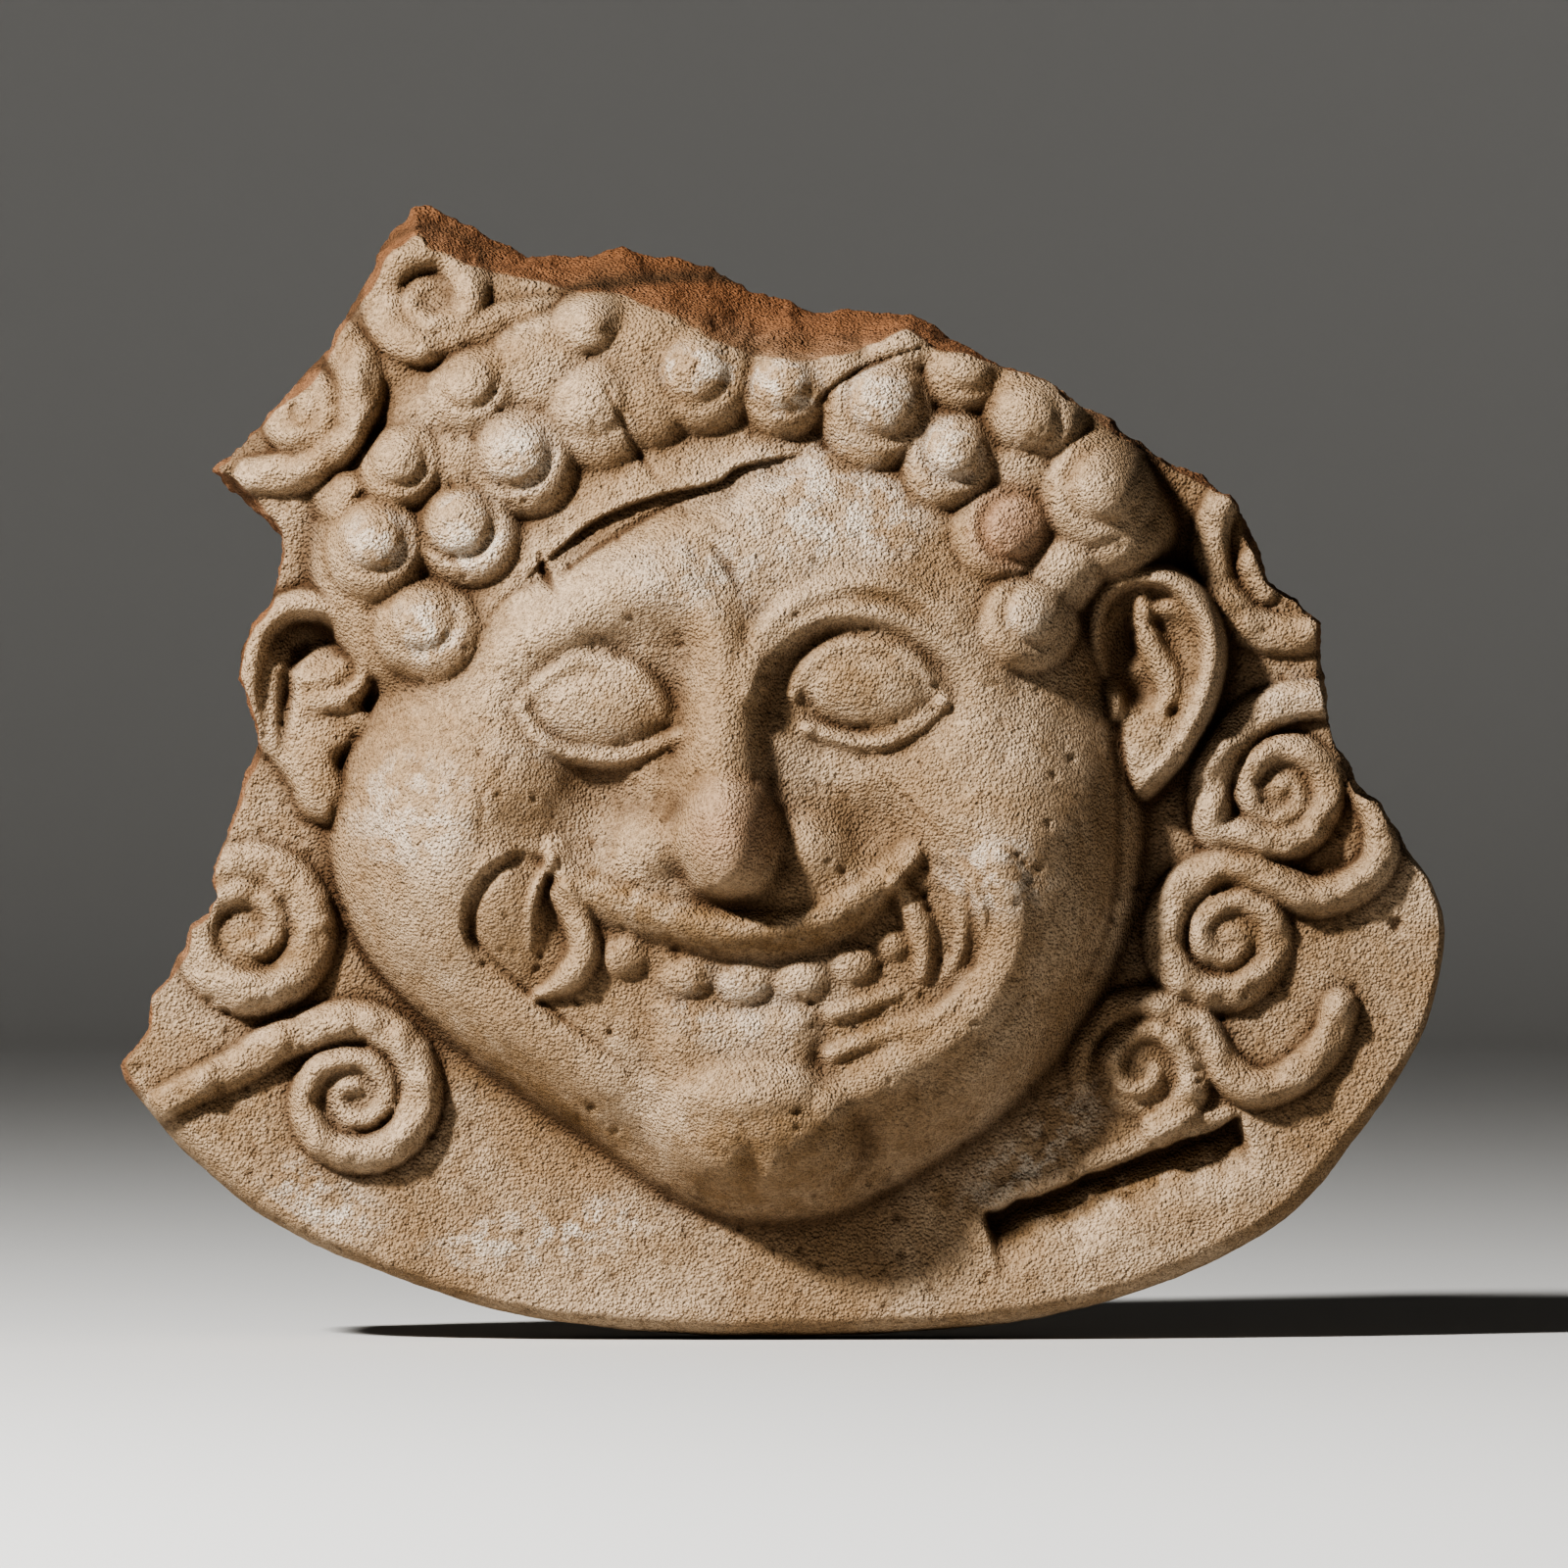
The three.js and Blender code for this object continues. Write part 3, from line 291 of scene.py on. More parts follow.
@dataclass(frozen=True)
class Dome:
    """A rounded lump or, taken away, a rounded hollow."""

    centre: Point
    radii: Point
    rise: float
    fall: float = 0.5
    tilt: float = 0.0

    def layer(self, clay: Clay) -> Layer:
        """Return the dome on a clay's grid.

        Args:
            clay: The clay whose grid the heights are laid on.

        Returns:
            The heights as a layer.
        """
        out = clay.blank()
        reach = max(self.radii)
        cx, cz = self.centre
        box = clay.window(cx - reach, cx + reach, cz - reach, cz + reach)
        x, z = clay.x[box[1]][None, :] - cx, clay.z[box[0]][:, None] - cz
        cos, sin = math.cos(math.radians(self.tilt)), math.sin(math.radians(self.tilt))
        u, v = (x * cos + z * sin) / self.radii[0], (z * cos - x * sin) / self.radii[1]
        out[box] = self.rise * np.clip(1 - u * u - v * v, 0, 1) ** self.fall
        return out


@dataclass(frozen=True)
class Ridge:
    """A roll of clay along a smooth run or, taken away, a groove."""

    points: Sequence[Point]
    half_widths: Sequence[float]
    rises: Sequence[float]
    fall: float = 0.5

    def layer(self, clay: Clay) -> Layer:
        """Return the ridge on a clay's grid."""
        return ridge_along(clay, smooth_run(self.points), self.half_widths, self.rises, self.fall)


def ridge_along(clay: Clay, path: np.ndarray, half_widths: Sequence[float], rises: Sequence[float],
                fall: float = 0.5) -> Layer:
    """Raise a roll of clay along a path.

    Args:
        clay: The clay it lies on.
        path: Points of the path.
        half_widths: Half widths spread evenly along it.
        rises: Heights spread evenly along it.
        fall: 0.5 for a half round, more for a softer foot.

    Returns:
        The roll as a layer.
    """
    share, place, _ = clay.follow(path, half_widths)
    rise = np.interp(place, np.linspace(0, 1, len(rises)), rises)
    return rise * np.clip(1 - share ** 2, 0, 1) ** fall


Form = Dome | Ridge


def total(clay: Clay, forms: Sequence[Form]) -> Layer:
    """Add forms up into one layer."""
    return sum((form.layer(clay) for form in forms), clay.blank())


def highest(clay: Clay, forms: Sequence[Form]) -> Layer:
    """Take the highest of some forms as one layer.

    Args:
        clay: The clay whose grid the heights are laid on.
        forms: The forms.

    Returns:
        Their highest as a layer.
    """
    out = clay.blank()
    for form in forms:
        out = np.maximum(out, form.layer(clay))
    return out


@dataclass(frozen=True)
class Head:
    """The mass of the face and the mass of hair round it."""

    face: Sequence[Point] = (
        (-69, 22), (-74.5, 11), (-77, 0), (-76.5, -10), (-73.5, -19), (-68, -27.5), (-60.5, -35.5),
        (-51, -43), (-41, -50), (-31, -56.5), (-24, -61.5), (-15, -66.8), (-4, -69.2), (8, -68),
        (20, -62.5), (32, -55), (43, -45.5), (51.5, -34.5), (57.5, -22), (60.5, -8), (60.8, 4), (59, 14),
        (56, 24), (53, 36), (46, 50), (30, 62), (10, 68), (-12, 68), (-34, 62), (-52, 50), (-63, 36))
    hair: Sequence[Point] = (
        (-68, 20), (-77.5, 31), (-80.5, 42), (-78, 55), (-70, 68), (-58, 79), (-40, 87), (-16, 90.5),
        (8, 89), (30, 83.5), (47, 74), (58, 65), (64.5, 55), (66.5, 47), (62, 40), (54, 34), (46, 22),
        (20, 30), (-20, 34), (-50, 22))
    skirt: Ridge = Ridge(((-84, 42), (-80, 56), (-70, 70), (-56, 80), (-40, 88)), (8, 13, 13, 9),
                         (2, 7, 7.5, 4), 1.4)
    face_rise: float = 19.0
    face_wall: float = 26.0
    face_fullness: float = 1.7
    hair_rise: float = 13.0
    hair_wall: float = 11.0
    join: float = 4.0
    softening: float = 0.8
    border: float = 9.0  # width over which the forms of the face fade in

    def carve(self, clay: Clay) -> Layer:
        """Raise both masses, with the hair running out softly on the upper left.

        Args:
            clay: The clay whose grid the heights are laid on.

        Returns:
            The heights as a layer.
        """
        face = clay.mass(self.face, self.face_rise, self.face_wall, self.face_fullness)
        hair = clay.mass(self.hair, self.hair_rise, self.hair_wall)
        head = blend_max(face, hair, self.join) * ((face > 0) | (hair > 0))
        skirt = self.skirt.layer(clay)
        joined = blend_max(head, skirt, self.join) * ((head > 0) | (skirt > 0))
        return clay.soften(joined, self.softening)

    def within(self, clay: Clay) -> Layer:
        """Return 1 well inside the face and 0 outside it."""
        return ease(clay.inside(smooth_run(self.face, closed=True), 12) / self.border)


@dataclass(frozen=True)
class Nose:
    """The nose: rows up its bridge, and its tip and wings."""

    rows: Sequence[tuple[float, float, float, float, float]] = (
        (-15.5, -15, -8, -2, 0), (-12, -17, -8.6, -0.6, 3.8), (-6, -20, -8.8, 0, 6.2),
        (0, -20, -9.2, -0.8, 7.2), (6, -19.6, -9.6, -1.8, 7.4), (12, -18.8, -10, -2.8, 6.8),
        (18, -18, -10, -3, 5.6), (25, -17.6, -10.2, -3, 3.6), (33, -17, -11, -4, 1.4),
        (38, -16, -11, -4, 0))
    lumps: Sequence[Form] = (
        Dome((-9, -4), (9.6, 10.6), 8.6, 0.68),
        Dome((-22.2, -5.4), (7.6, 6.2), 4.2, 1.1, 20),
        Dome((5.4, -5), (7.4, 6), 3.6, 1.2, -15))
    falls: Point = (1.3, 1.1)  # softness of the bridge's foot on the left and the right

    def carve(self, clay: Clay) -> Layer:
        """Raise the bridge from its rows of foot, crest, foot and rise, then the tip and wings.

        Args:
            clay: The clay whose grid the heights are laid on.

        Returns:
            The heights as a layer.
        """
        rows = np.array(self.rows, float)
        left, crest, right, rise = (np.interp(clay.z, rows[:, 0], rows[:, k])[:, None] for k in (1, 2, 3, 4))
        x = clay.x[None, :]
        on_left = x < crest
        u = np.where(on_left, (crest - x) / (crest - left), (x - crest) / (right - crest))
        bridge = rise * np.clip(1 - u ** 2, 0, 1) ** np.where(on_left, *self.falls)
        bridge[(clay.z < rows[0, 0]) | (clay.z > rows[-1, 0])] = 0
        return bridge + total(clay, self.lumps)


@dataclass(frozen=True)
class Eye:
    """An almond eyeball between two rolled lids."""

    ball: Dome
    upper: Ridge
    lower: Ridge

    def carve(self, clay: Clay) -> Layer:
        """Raise the ball and its lids."""
        return total(clay, (self.ball, self.upper, self.lower))


LEFT_EYE = Eye(
    Dome((-30.6, 18.4), (12.2, 8.2), 7, 0.85, -8),
    Ridge(((-44.2, 18.6), (-39.6, 23.4), (-34, 26.2), (-28.6, 25.8), (-23.6, 22.6), (-18.8, 16)),
          (1.4, 1.9, 1.6), (1.2, 1.8, 0.8), 1),
    Ridge(((-43.8, 17.8), (-41, 13.2), (-36, 10.2), (-30, 9.2), (-24, 10.4), (-18, 13.4)),
          (1.4, 1.9, 1.5), (1.6, 2.8, 2), 0.8))
RIGHT_EYE = Eye(
    Dome((14.4, 21.6), (11.8, 8.1), 6.8, 0.85, -8),
    Ridge(((1.8, 20), (3.6, 24.6), (8, 28.2), (13.6, 29.2), (20, 27.4), (24.6, 23.2), (26.8, 18.8)),
          (1.5, 2, 1.6), (1.3, 2, 1.2), 0.9),
    Ridge(((26.8, 18.8), (22.6, 15), (17, 12.4), (11, 12.4), (4, 14.4)), (1.4, 1.9, 1.5), (1.6, 2.8, 2), 0.8))


@dataclass(frozen=True)
class Mouth:
    """The grinning mouth: its hollow, lips, teeth, tusks and hanging tongue."""

    outline: Sequence[Point] = (
        (-40, -5.8), (-46, -6.4), (-51.5, -11), (-54.2, -19), (-51.5, -25.5), (-45, -31.5), (-38, -37),
        (-30, -43), (-24, -48.5), (-10, -50), (4, -48.5), (9.5, -44), (18.4, -39.4), (27.6, -33.2),
        (33.4, -26), (34, -17.6), (30.6, -9.4), (25, -5.4), (21, -8.4), (14.5, -16.2), (5.5, -21.2),
        (-4.2, -22.9), (-13.7, -21.9), (-24, -18.9), (-32, -15.6), (-36.4, -11))
    tongue: Sequence[Point] = (
        (-21.4, -31), (-21.8, -36), (-22.4, -42), (-24, -47), (-18, -50.5), (-8, -51.5), (3, -50), (7, -46),
        (5.4, -41), (6.4, -35), (4, -31.6), (-8, -32))
    corners: Sequence[Form] = (
        Ridge(((-43, -6.2), (-48.8, -9.4), (-52.2, -14.6), (-52.8, -20.6), (-50.4, -26)), (0.9, 1.7, 1.5, 1),
              (0.6, 2.2, 1.8, 0.4), 1),
        Ridge(((27, -8.4), (31.2, -14), (31.8, -21), (29, -27.4)), (1.4, 1.7, 1.2), (0.5, 1.2, 0.4), 1))
    lips: Sequence[Form] = (
        Ridge(((-38.6, -5.4), (-36, -11.2), (-25, -15.6), (-14, -18.8), (-4.2, -19.8), (5.5, -18.2),
               (14, -13), (21, -6.4)), (2.4, 3.6, 2.6), (1.6, 2.6, 1.8), 0.9),
        Ridge(((9, -49), (18.6, -43.4), (28.4, -36.6), (36, -28), (38.6, -18), (36, -8)), (4.6, 5.4, 4),
              (2.2, 3, 1.6), 1.4),
        Ridge(((8, -33.8), (13.2, -32.2), (18.8, -30)), (1.7, 1.9, 1.4), (1.8, 1.8, 1), 1),
        Ridge(((8, -40.4), (18, -36.6), (26.6, -32.6), (31, -27)), (1.9, 2, 1.4), (1.8, 2, 1), 1))
    tusks: Sequence[Form] = (
        Dome((-46.4, -16.6), (6.6, 12), 2.4, 0.6, 8), Dome((-42.4, -9), (4.6, 4.6), 1.8, 0.9),
        Ridge(((-38.9, -7.4), (-41.4, -12), (-42.6, -17), (-42.8, -22.4)), (1.1, 1.4, 1), (3, 3.6, 2.4), 0.8),
        Ridge(((-37.6, -13.4), (-34.4, -18.6), (-33.6, -23.4), (-36.4, -27.8), (-41.8, -30.8)),
              (2.2, 3, 3, 1), (3.4, 5, 4.6, 2.6), 0.6),
        Dome((28, -18), (5, 10), 1.2, 0.9, 8),
        Ridge(((25.4, -8), (29.8, -13), (31, -19.6), (28.6, -26.4)), (2.4, 3.4, 2.2), (2.2, 3, 1.8), 0.7),
        Dome((26.6, -9.6), (4.2, 4.2), 1.6, 0.9), Dome((22.4, -10), (4, 4), 1.8, 0.9),
        Ridge(((19.2, -11.6), (22.2, -17.2), (23.6, -22.6), (23.2, -27)), (2.2, 2.9, 1.7),
              (2.8, 3.9, 2.2), 0.7))
    gum: Ridge = Ridge(((-33, -19), (-23, -22.5), (-13, -25), (-4, -26), (5, -24.8), (13, -21.8), (19, -18)),
                       (4.2, 4.4, 4), (1, 1.2, 0.9), 1)
    teeth: Sequence[Dome] = (
        Dome((-26.8, -23.8), (4.4, 4.2), 3.3, 0.7), Dome((-16.4, -27.2), (5, 4), 3, 0.7),
        Dome((-6.8, -28.5), (5.1, 4), 3.2, 0.7), Dome((2.9, -27.8), (5.1, 4), 3.1, 0.7),
        Dome((11.8, -25.2), (4.6, 3.8), 2.8, 0.7), Dome((18.1, -21.8), (3.4, 3.2), 2.2, 0.7))
    depth: float = 2.8
    wall: float = 2.6
    shallow: float = 0.1  # share of the depth that is left at the mouth's lower edge
    lower_edge: float = -48.0
    climb: float = 26.0  # height over which the mouth reaches its full depth
    tooth_join: float = 0.5
    tongue_rise: float = 2.2
    tongue_wall: float = 4.0
    tongue_fullness: float = 1.2
    tongue_join: float = 0.6
    tusk_join: float = 0.4

    def carve(self, clay: Clay) -> Layer:
        """Sink the mouth and set the lips, teeth, tusks and tongue in it.

        Args:
            clay: The clay whose grid the heights are laid on.

        Returns:
            The heights as a layer.
        """
        depth = clay.inside(smooth_run(self.outline, closed=True), 6)
        climbed = (clay.z[:, None] - self.lower_edge) / self.climb
        shallow = self.shallow + (1 - self.shallow) * np.clip(climbed, 0, 1)
        hollow = self.depth * shallow * ease(depth / self.wall) * (depth > 0) + total(clay, self.corners)
        bite = self.gum.layer(clay)
        for tooth in self.teeth:
            bite = blend_max(bite, tooth.layer(clay), self.tooth_join)
        tongue = clay.mass(self.tongue, self.tongue_rise, self.tongue_wall, self.tongue_fullness)
        bite = blend_max(bite, tongue, self.tongue_join)
        bite = blend_max(bite, highest(clay, self.tusks), self.tusk_join)
        return total(clay, self.lips) + bite - hollow


@dataclass(frozen=True)
class FaceForms:
    """Everything that lies on the mass of the face."""

    cheeks: Sequence[Form] = (
        Dome((-8, 4), (64, 62), 4.5, 1.2),
        Dome((-54, -3), (22, 27), 5.4, 1.6, -12),
        Dome((39, -5), (21, 29), 5.4, 1.6, 14),
        Dome((-10, 50), (40, 15), 1.2, 1.2),
        Dome((-4, -14), (30, 10), 2.2, 1.4),
        Ridge(((-66, -20), (-55, -34), (-42, -43.5), (-28, -51)), (10, 12, 10), (1, 3, 1.6), 1.8),
        Ridge(((8, -54), (26, -48.5), (39, -37), (47, -20)), (10, 12, 10), (1.2, 3.6, 1.6), 1.8),
        Dome((-5, -54.5), (18.5, 14), 7.6, 0.85),
        Ridge(((-70, -22), (-60, -33), (-48, -42.6), (-36, -50.4), (-26, -56.6)), (1.6, 2, 1.6),
              (0.4, 1.1, 0.5), 1))
    brows: Sequence[Form] = (
        Ridge(((-50, 20), (-42, 29.5), (-31, 36), (-20, 37.5), (-12, 33), (-10, 25)), (6, 9, 9, 5),
              (1, 3.6, 4.6, 2.4), 1.8),
        Ridge(((-5.4, 21), (-2.6, 28.5), (4, 33.2), (11, 34.4), (19, 33), (27, 29.4), (35, 23)),
              (3.5, 4.2, 4), (3.6, 4.2, 1.2), 1.4),
        Ridge(((-4, 31), (1, 35.6), (7.3, 38.2), (13.8, 38.8), (20.2, 37.6), (27, 34.4), (34, 29)),
              (2.2, 2.6, 2.6), (1.8, 2.8, 0.8), 1.3))
    hollows: Sequence[Form] = (
        Ridge(((-21, 8), (-29, 1), (-39, -3), (-49, -4)), (9, 11, 8), (1, 4.4, 2), 2),
        Ridge(((4, 8), (10, 0), (19, -4), (27, -7)), (8, 10, 6), (1, 3.6, 1.8), 2),
        Dome((-31, 17), (20, 15), 5, 1.8, -8),
        Dome((14, 20), (19, 15), 4.2, 1.8, -8),
        Ridge(((-3, 28.4), (1.6, 32.8), (7.5, 35.6), (14, 36.1), (20.5, 34.8), (27, 31.4), (33, 26.6)),
              (1.2, 1.5, 1.3), (1.2, 2.4, 0.8), 1),
        Dome((-19, 24), (5.5, 8), 1.3, 1.8), Dome((-32, 4.4), (13, 5.4), 3, 1.3, -16),
        Ridge(((5.4, -32.6), (7.4, -37.6), (5.6, -42), (6.6, -46)), (0.9, 1.4, 0.8), (0.5, 1.5, 0.6), 1),
        Ridge(((-23, -31), (-23.4, -37), (-23.6, -43)), (1.2, 1.6, 1), (0.4, 0.9, 0.4), 1),
        Dome((-8.6, -15.4), (11, 3.4), 1.6, 1.2),
        Ridge(((-6, -53.5), (-5.4, -58), (-7, -65)), (3, 3.4, 3), (0.4, 2.4, 0.8), 1.6),
        Ridge(((-28, -50.5), (-25.4, -56), (-21, -63)), (4, 4.6, 4), (0.8, 2.6, 1), 1.4),
        Ridge(((10.5, -50), (14.4, -56), (14.8, -63)), (4, 4.6, 4), (0.8, 2.4, 1), 1.4))
    nose: Nose = Nose()
    mouth: Mouth = Mouth()
    eyes: Sequence[Eye] = (LEFT_EYE, RIGHT_EYE)
    broad_softening: float = 0.9
    crisp_softening: float = 0.35

    def carve(self, clay: Clay) -> Layer:
        """Model the broad forms softly and the mouth and eyes more crisply.

        Args:
            clay: The clay whose grid the heights are laid on.

        Returns:
            The heights as a layer.
        """
        soft = total(clay, self.cheeks) + total(clay, self.brows) - total(clay, self.hollows)
        soft = soft + self.nose.carve(clay)
        crisp = self.mouth.carve(clay)
        for eye in self.eyes:
            crisp = crisp + eye.carve(clay)
        return clay.soften(soft, self.broad_softening) + clay.soften(crisp, self.crisp_softening)


@dataclass(frozen=True)
class CurlShape:
    """The proportions that all snail curls share, as shares of a curl's radius unless it says more."""

    body: float = 1.05
    body_fall: float = 0.72
    lean: float = 60.0  # degrees from the start of the groove to the way that the knob leans
    off_centre: float = 0.24
    groove_radii: Sequence[float] = (0.7, 0.67, 0.66, 0.6)
    groove_start: float = 90.0
    groove_turns: float = 0.85
    groove_half_widths: Sequence[float] = (0.12, 0.17, 0.14)
    groove_shares: Sequence[float] = (0.3, 1, 0.9, 0.3)
    groove_depth: float = 1.35  # in millimetres, where a curl's groove is 1
    knob: float = 0.62
    knob_rise: float = 0.15  # as a share of the curl's rise
    knob_fall: float = 0.9
    floor: float = 0.2  # clay left under the groove, in millimetres


@dataclass(frozen=True)
class Curl:
    """One snail curl of the hair, worn or crisp."""

    x: float
    z: float
    radius: float
    rise: float
    start: float = 0.0
    groove: float = 0.0

    def carve(self, clay: Clay, shape: CurlShape) -> Layer:
        """Raise the curl, with a knob and a partial groove round it where it isn't worn away.

        Args:
            clay: The clay whose grid the heights are laid on.
            shape: The proportions that all curls share.

        Returns:
            The heights as a layer.
        """
        r = self.radius
        body = Dome((self.x, self.z), (shape.body * r, shape.body * r), self.rise, shape.body_fall)
        if not self.groove:
            return body.layer(clay)
        lean = math.radians(self.start + shape.lean)
        off = shape.off_centre * r
        middle = (self.x + off * math.cos(lean), self.z + off * math.sin(lean))
        radii = [part * r for part in shape.groove_radii]
        turn = coil_run(middle, radii, self.start + shape.groove_start, shape.groove_turns)
        half_widths = [part * r for part in shape.groove_half_widths]
        cut = shape.groove_depth * self.groove * ridge_along(clay, turn, half_widths, shape.groove_shares, 1)
        knob = Dome(middle, (shape.knob * r, shape.knob * r), shape.knob_rise * self.rise, shape.knob_fall)
        whole = body.layer(clay)
        return np.where(whole > 0, np.maximum(whole + knob.layer(clay) - cut, shape.floor), 0)


@dataclass(frozen=True)
class Hair:
    """The rows of snail curls."""

    curls: Sequence[Curl] = (
        Curl(-64.3, 58.3, 7.2, 6.0, 50, 0.8), Curl(-44.2, 59.2, 9.4, 7.3, 60, 1.0),
        Curl(-68.6, 44.6, 8.8, 6.9, 50, 0.9), Curl(-53.6, 47.2, 9.0, 7.7, 60, 1.1),
        Curl(-60.3, 31.0, 8.8, 7.0, 50, 0.7), Curl(-52.6, 71.6, 7.6, 4.5, 50, 0.6),
        Curl(-31.4, 67.6, 9.6, 6.0, 60, 0.4), Curl(-41.0, 75.4, 9.0, 3.0),
        Curl(-33.0, 83.2, 6.0, 5.9, 0, 0.2), Curl(-23.4, 76.6, 9.4, 3.4),
        Curl(-13.8, 73.2, 9.2, 6.4, 60, 0.5), Curl(-22.6, 69.0, 7.4, 4.6),
        Curl(0.4, 71.4, 8.0, 6.7, 60, 0.4), Curl(8.6, 74.2, 6.0, 4.6),
        Curl(15.6, 68.0, 9.8, 7.8, -15, 1.1), Curl(28.0, 59.8, 8.4, 7.6, 0, 1.1),
        Curl(37.2, 47.8, 8.8, 6.2, -50, 0.9), Curl(41.4, 32.2, 8.4, 6.9, -10, 0.8),
        Curl(42.4, 68.0, 9.0, 7.4, 150, 0.7), Curl(52.6, 54.2, 10.2, 7.4, -30, 0.9),
        Curl(30.4, 74.4, 7.0, 5.9, 0, 0.4), Curl(19.4, 79.6, 6.6, 4.4), Curl(-54.4, 58.4, 6.4, 3.2),
        Curl(47.4, 40.6, 7.2, 4.6), Curl(57.2, 44.6, 6.6, 3.8), Curl(40.0, 58.5, 6.6, 3.8),
        Curl(-75.6, 54.0, 4.6, 3.3))
    shape: CurlShape = CurlShape()
    join: float = 0.5
    softening: float = 0.3

    def carve(self, clay: Clay) -> Layer:
        """Raise every curl, each pressed a little into the next.

        Args:
            clay: The clay whose grid the heights are laid on.

        Returns:
            The heights as a layer.
        """
        out = clay.blank()
        for curl in self.curls:
            out = blend_max(out, curl.carve(clay, self.shape), self.join)
        return clay.soften(out, self.softening)


@dataclass(frozen=True)
class Ear:
    """An ear: its pad, the forms on it and the hollows in it."""

    outline: Sequence[Point]
    rise: float
    raised: Sequence[Form]
    sunk: Sequence[Form]
    wall: float = 4.0
    softening: float = 0.45

    def carve(self, clay: Clay) -> Layer:
        """Raise the ear's pad and carve it.

        Args:
            clay: The clay whose grid the heights are laid on.

        Returns:
            The heights as a layer.
        """
        pad = clay.mass(self.outline, self.rise, self.wall)
        body = pad + total(clay, self.raised) - total(clay, self.sunk)
        return clay.soften(np.where(pad > 0, np.maximum(body, 0), 0), self.softening)


RIGHT_EAR = Ear(
    ((50.2, 35), (52.5, 39.6), (58, 42.6), (66, 42.2), (72.8, 36.8), (75.4, 28.5), (74, 19.5), (70.8, 12.5),
     (66.4, 6.2), (61, 1.8), (56.6, 5), (54, 14), (53, 22), (50.6, 28)),
    8.5,
    (Ridge(((53.4, 24), (51.8, 28.4), (52, 33.6), (54.4, 38), (59.4, 40.6), (66, 39.6), (71, 34.7),
            (73, 28.5), (72.2, 21.7), (69.4, 14.8), (65.4, 8.7), (61.4, 5.3)),
           (1.8, 2.4, 2.6, 2.7, 2.6, 2.4, 1.8),
           (1.4, 3.2, 3.6, 3.4, 2.8, 1), 0.7),
     Ridge(((60.4, 36), (60.6, 32), (62.8, 27), (65.2, 22), (64.2, 17.6)), (1.7, 2.5, 2.5, 1.6),
           (2, 4, 3.6, 1.2), 0.7),
     Ridge(((61.4, 34), (65, 34.6), (68, 33)), (1.5, 1.9, 1.2), (1.4, 2, 0.6), 0.8),
     Dome((55.2, 19), (2.7, 4), 2.8, 0.8), Dome((61.2, 9.8), (5, 7), 1.6, 1)),
    (Dome((62, 28), (9.6, 11), 3.4, 1), Dome((57, 27), (3.4, 7.4), 2.6, 1.2, -8),
     Dome((59.6, 20.4), (3.2, 4.2), 2, 1.2), Dome((65.8, 17.4), (1.3, 1.4), 1.8, 0.8),
     Ridge(((56.4, 15), (57, 9.6), (58.6, 3.6)), (1.1, 1.2, 0.9), (1.2, 1.4, 0.8), 1)))
LEFT_EAR = Ear(
    ((-93, 21), (-91.4, 30), (-87.4, 36.2), (-79, 38.8), (-72, 35), (-68, 28), (-69.2, 21.4), (-70.4, 18.6),
     (-67.4, 16.6), (-69.6, 11.6), (-74.6, 9), (-72.8, 3.6), (-76.4, -2), (-81.4, -0.4), (-84.6, 6),
     (-88, 10), (-92, 14)),
    5.4,
    (Ridge(((-90.4, 14), (-91, 20), (-90.6, 26), (-88.4, 32), (-82.3, 35.6), (-75.4, 33.6), (-70.8, 28.2),
            (-70.4, 22.6), (-74, 19.6), (-79, 19)), (2.4, 2.9, 3, 2.8, 2), (1.6, 3.8, 4.4, 4, 2), 0.65),
     Dome((-78.4, 24.8), (5.4, 4.4), 2.4, 0.7), Dome((-77.6, 7), (6, 9), 1.4, 0.8),
     Dome((-70.8, 16.4), (2.8, 2.6), 1.4, 0.8)),
    (Dome((-80, 28.6), (7.6, 5.6), 4, 1),
     Ridge(((-84.8, 10), (-84.4, 17), (-83.6, 24), (-81, 28)), (1.1, 1.7, 1.3), (1.2, 2.8, 1.4), 1)))


@dataclass(frozen=True)
class Snake:
    """A coiled snake that lies on the ground: a lead given point by point, then its coil."""

    lead: Sequence[Point]
    half_widths: Sequence[float]
    rises: Sequence[float]
    centre: Point = (0, 0)
    radii: Sequence[float] = ()
    start: float = 0.0
    turns: float = 0.0
    web: float = 2.7  # clay left between the turns of the coil
    web_reach: float = 0.8
    web_fall: float = 0.6
    stoutness: float = 1.14
    fall: float = 0.7

    def path(self) -> np.ndarray:
        """Return the snake's whole run, lead and coil.

        Returns:
            The points of the run.
        """
        if not self.radii:
            return smooth_run(self.lead)
        coil = coil_run(self.centre, self.radii, self.start, self.turns)
        if not self.lead:
            return coil
        return np.vstack([smooth_run((*self.lead, tuple(coil[0])))[:-1], coil])

    def carve(self, clay: Clay) -> Layer:
        """Raise the snake's body as a half round, with clay left between the turns of its coil.

        Args:
            clay: The clay whose grid the heights are laid on.

        Returns:
            The heights as a layer.
        """
        half_widths = [self.stoutness * half for half in self.half_widths]
        body = ridge_along(clay, self.path(), half_widths, self.rises, self.fall)
        if not self.radii:
            return body
        reach = self.web_reach * float(np.mean(self.radii[:3]))
        return np.maximum(body, Dome(self.centre, (reach, reach), self.web, self.web_fall).layer(clay))


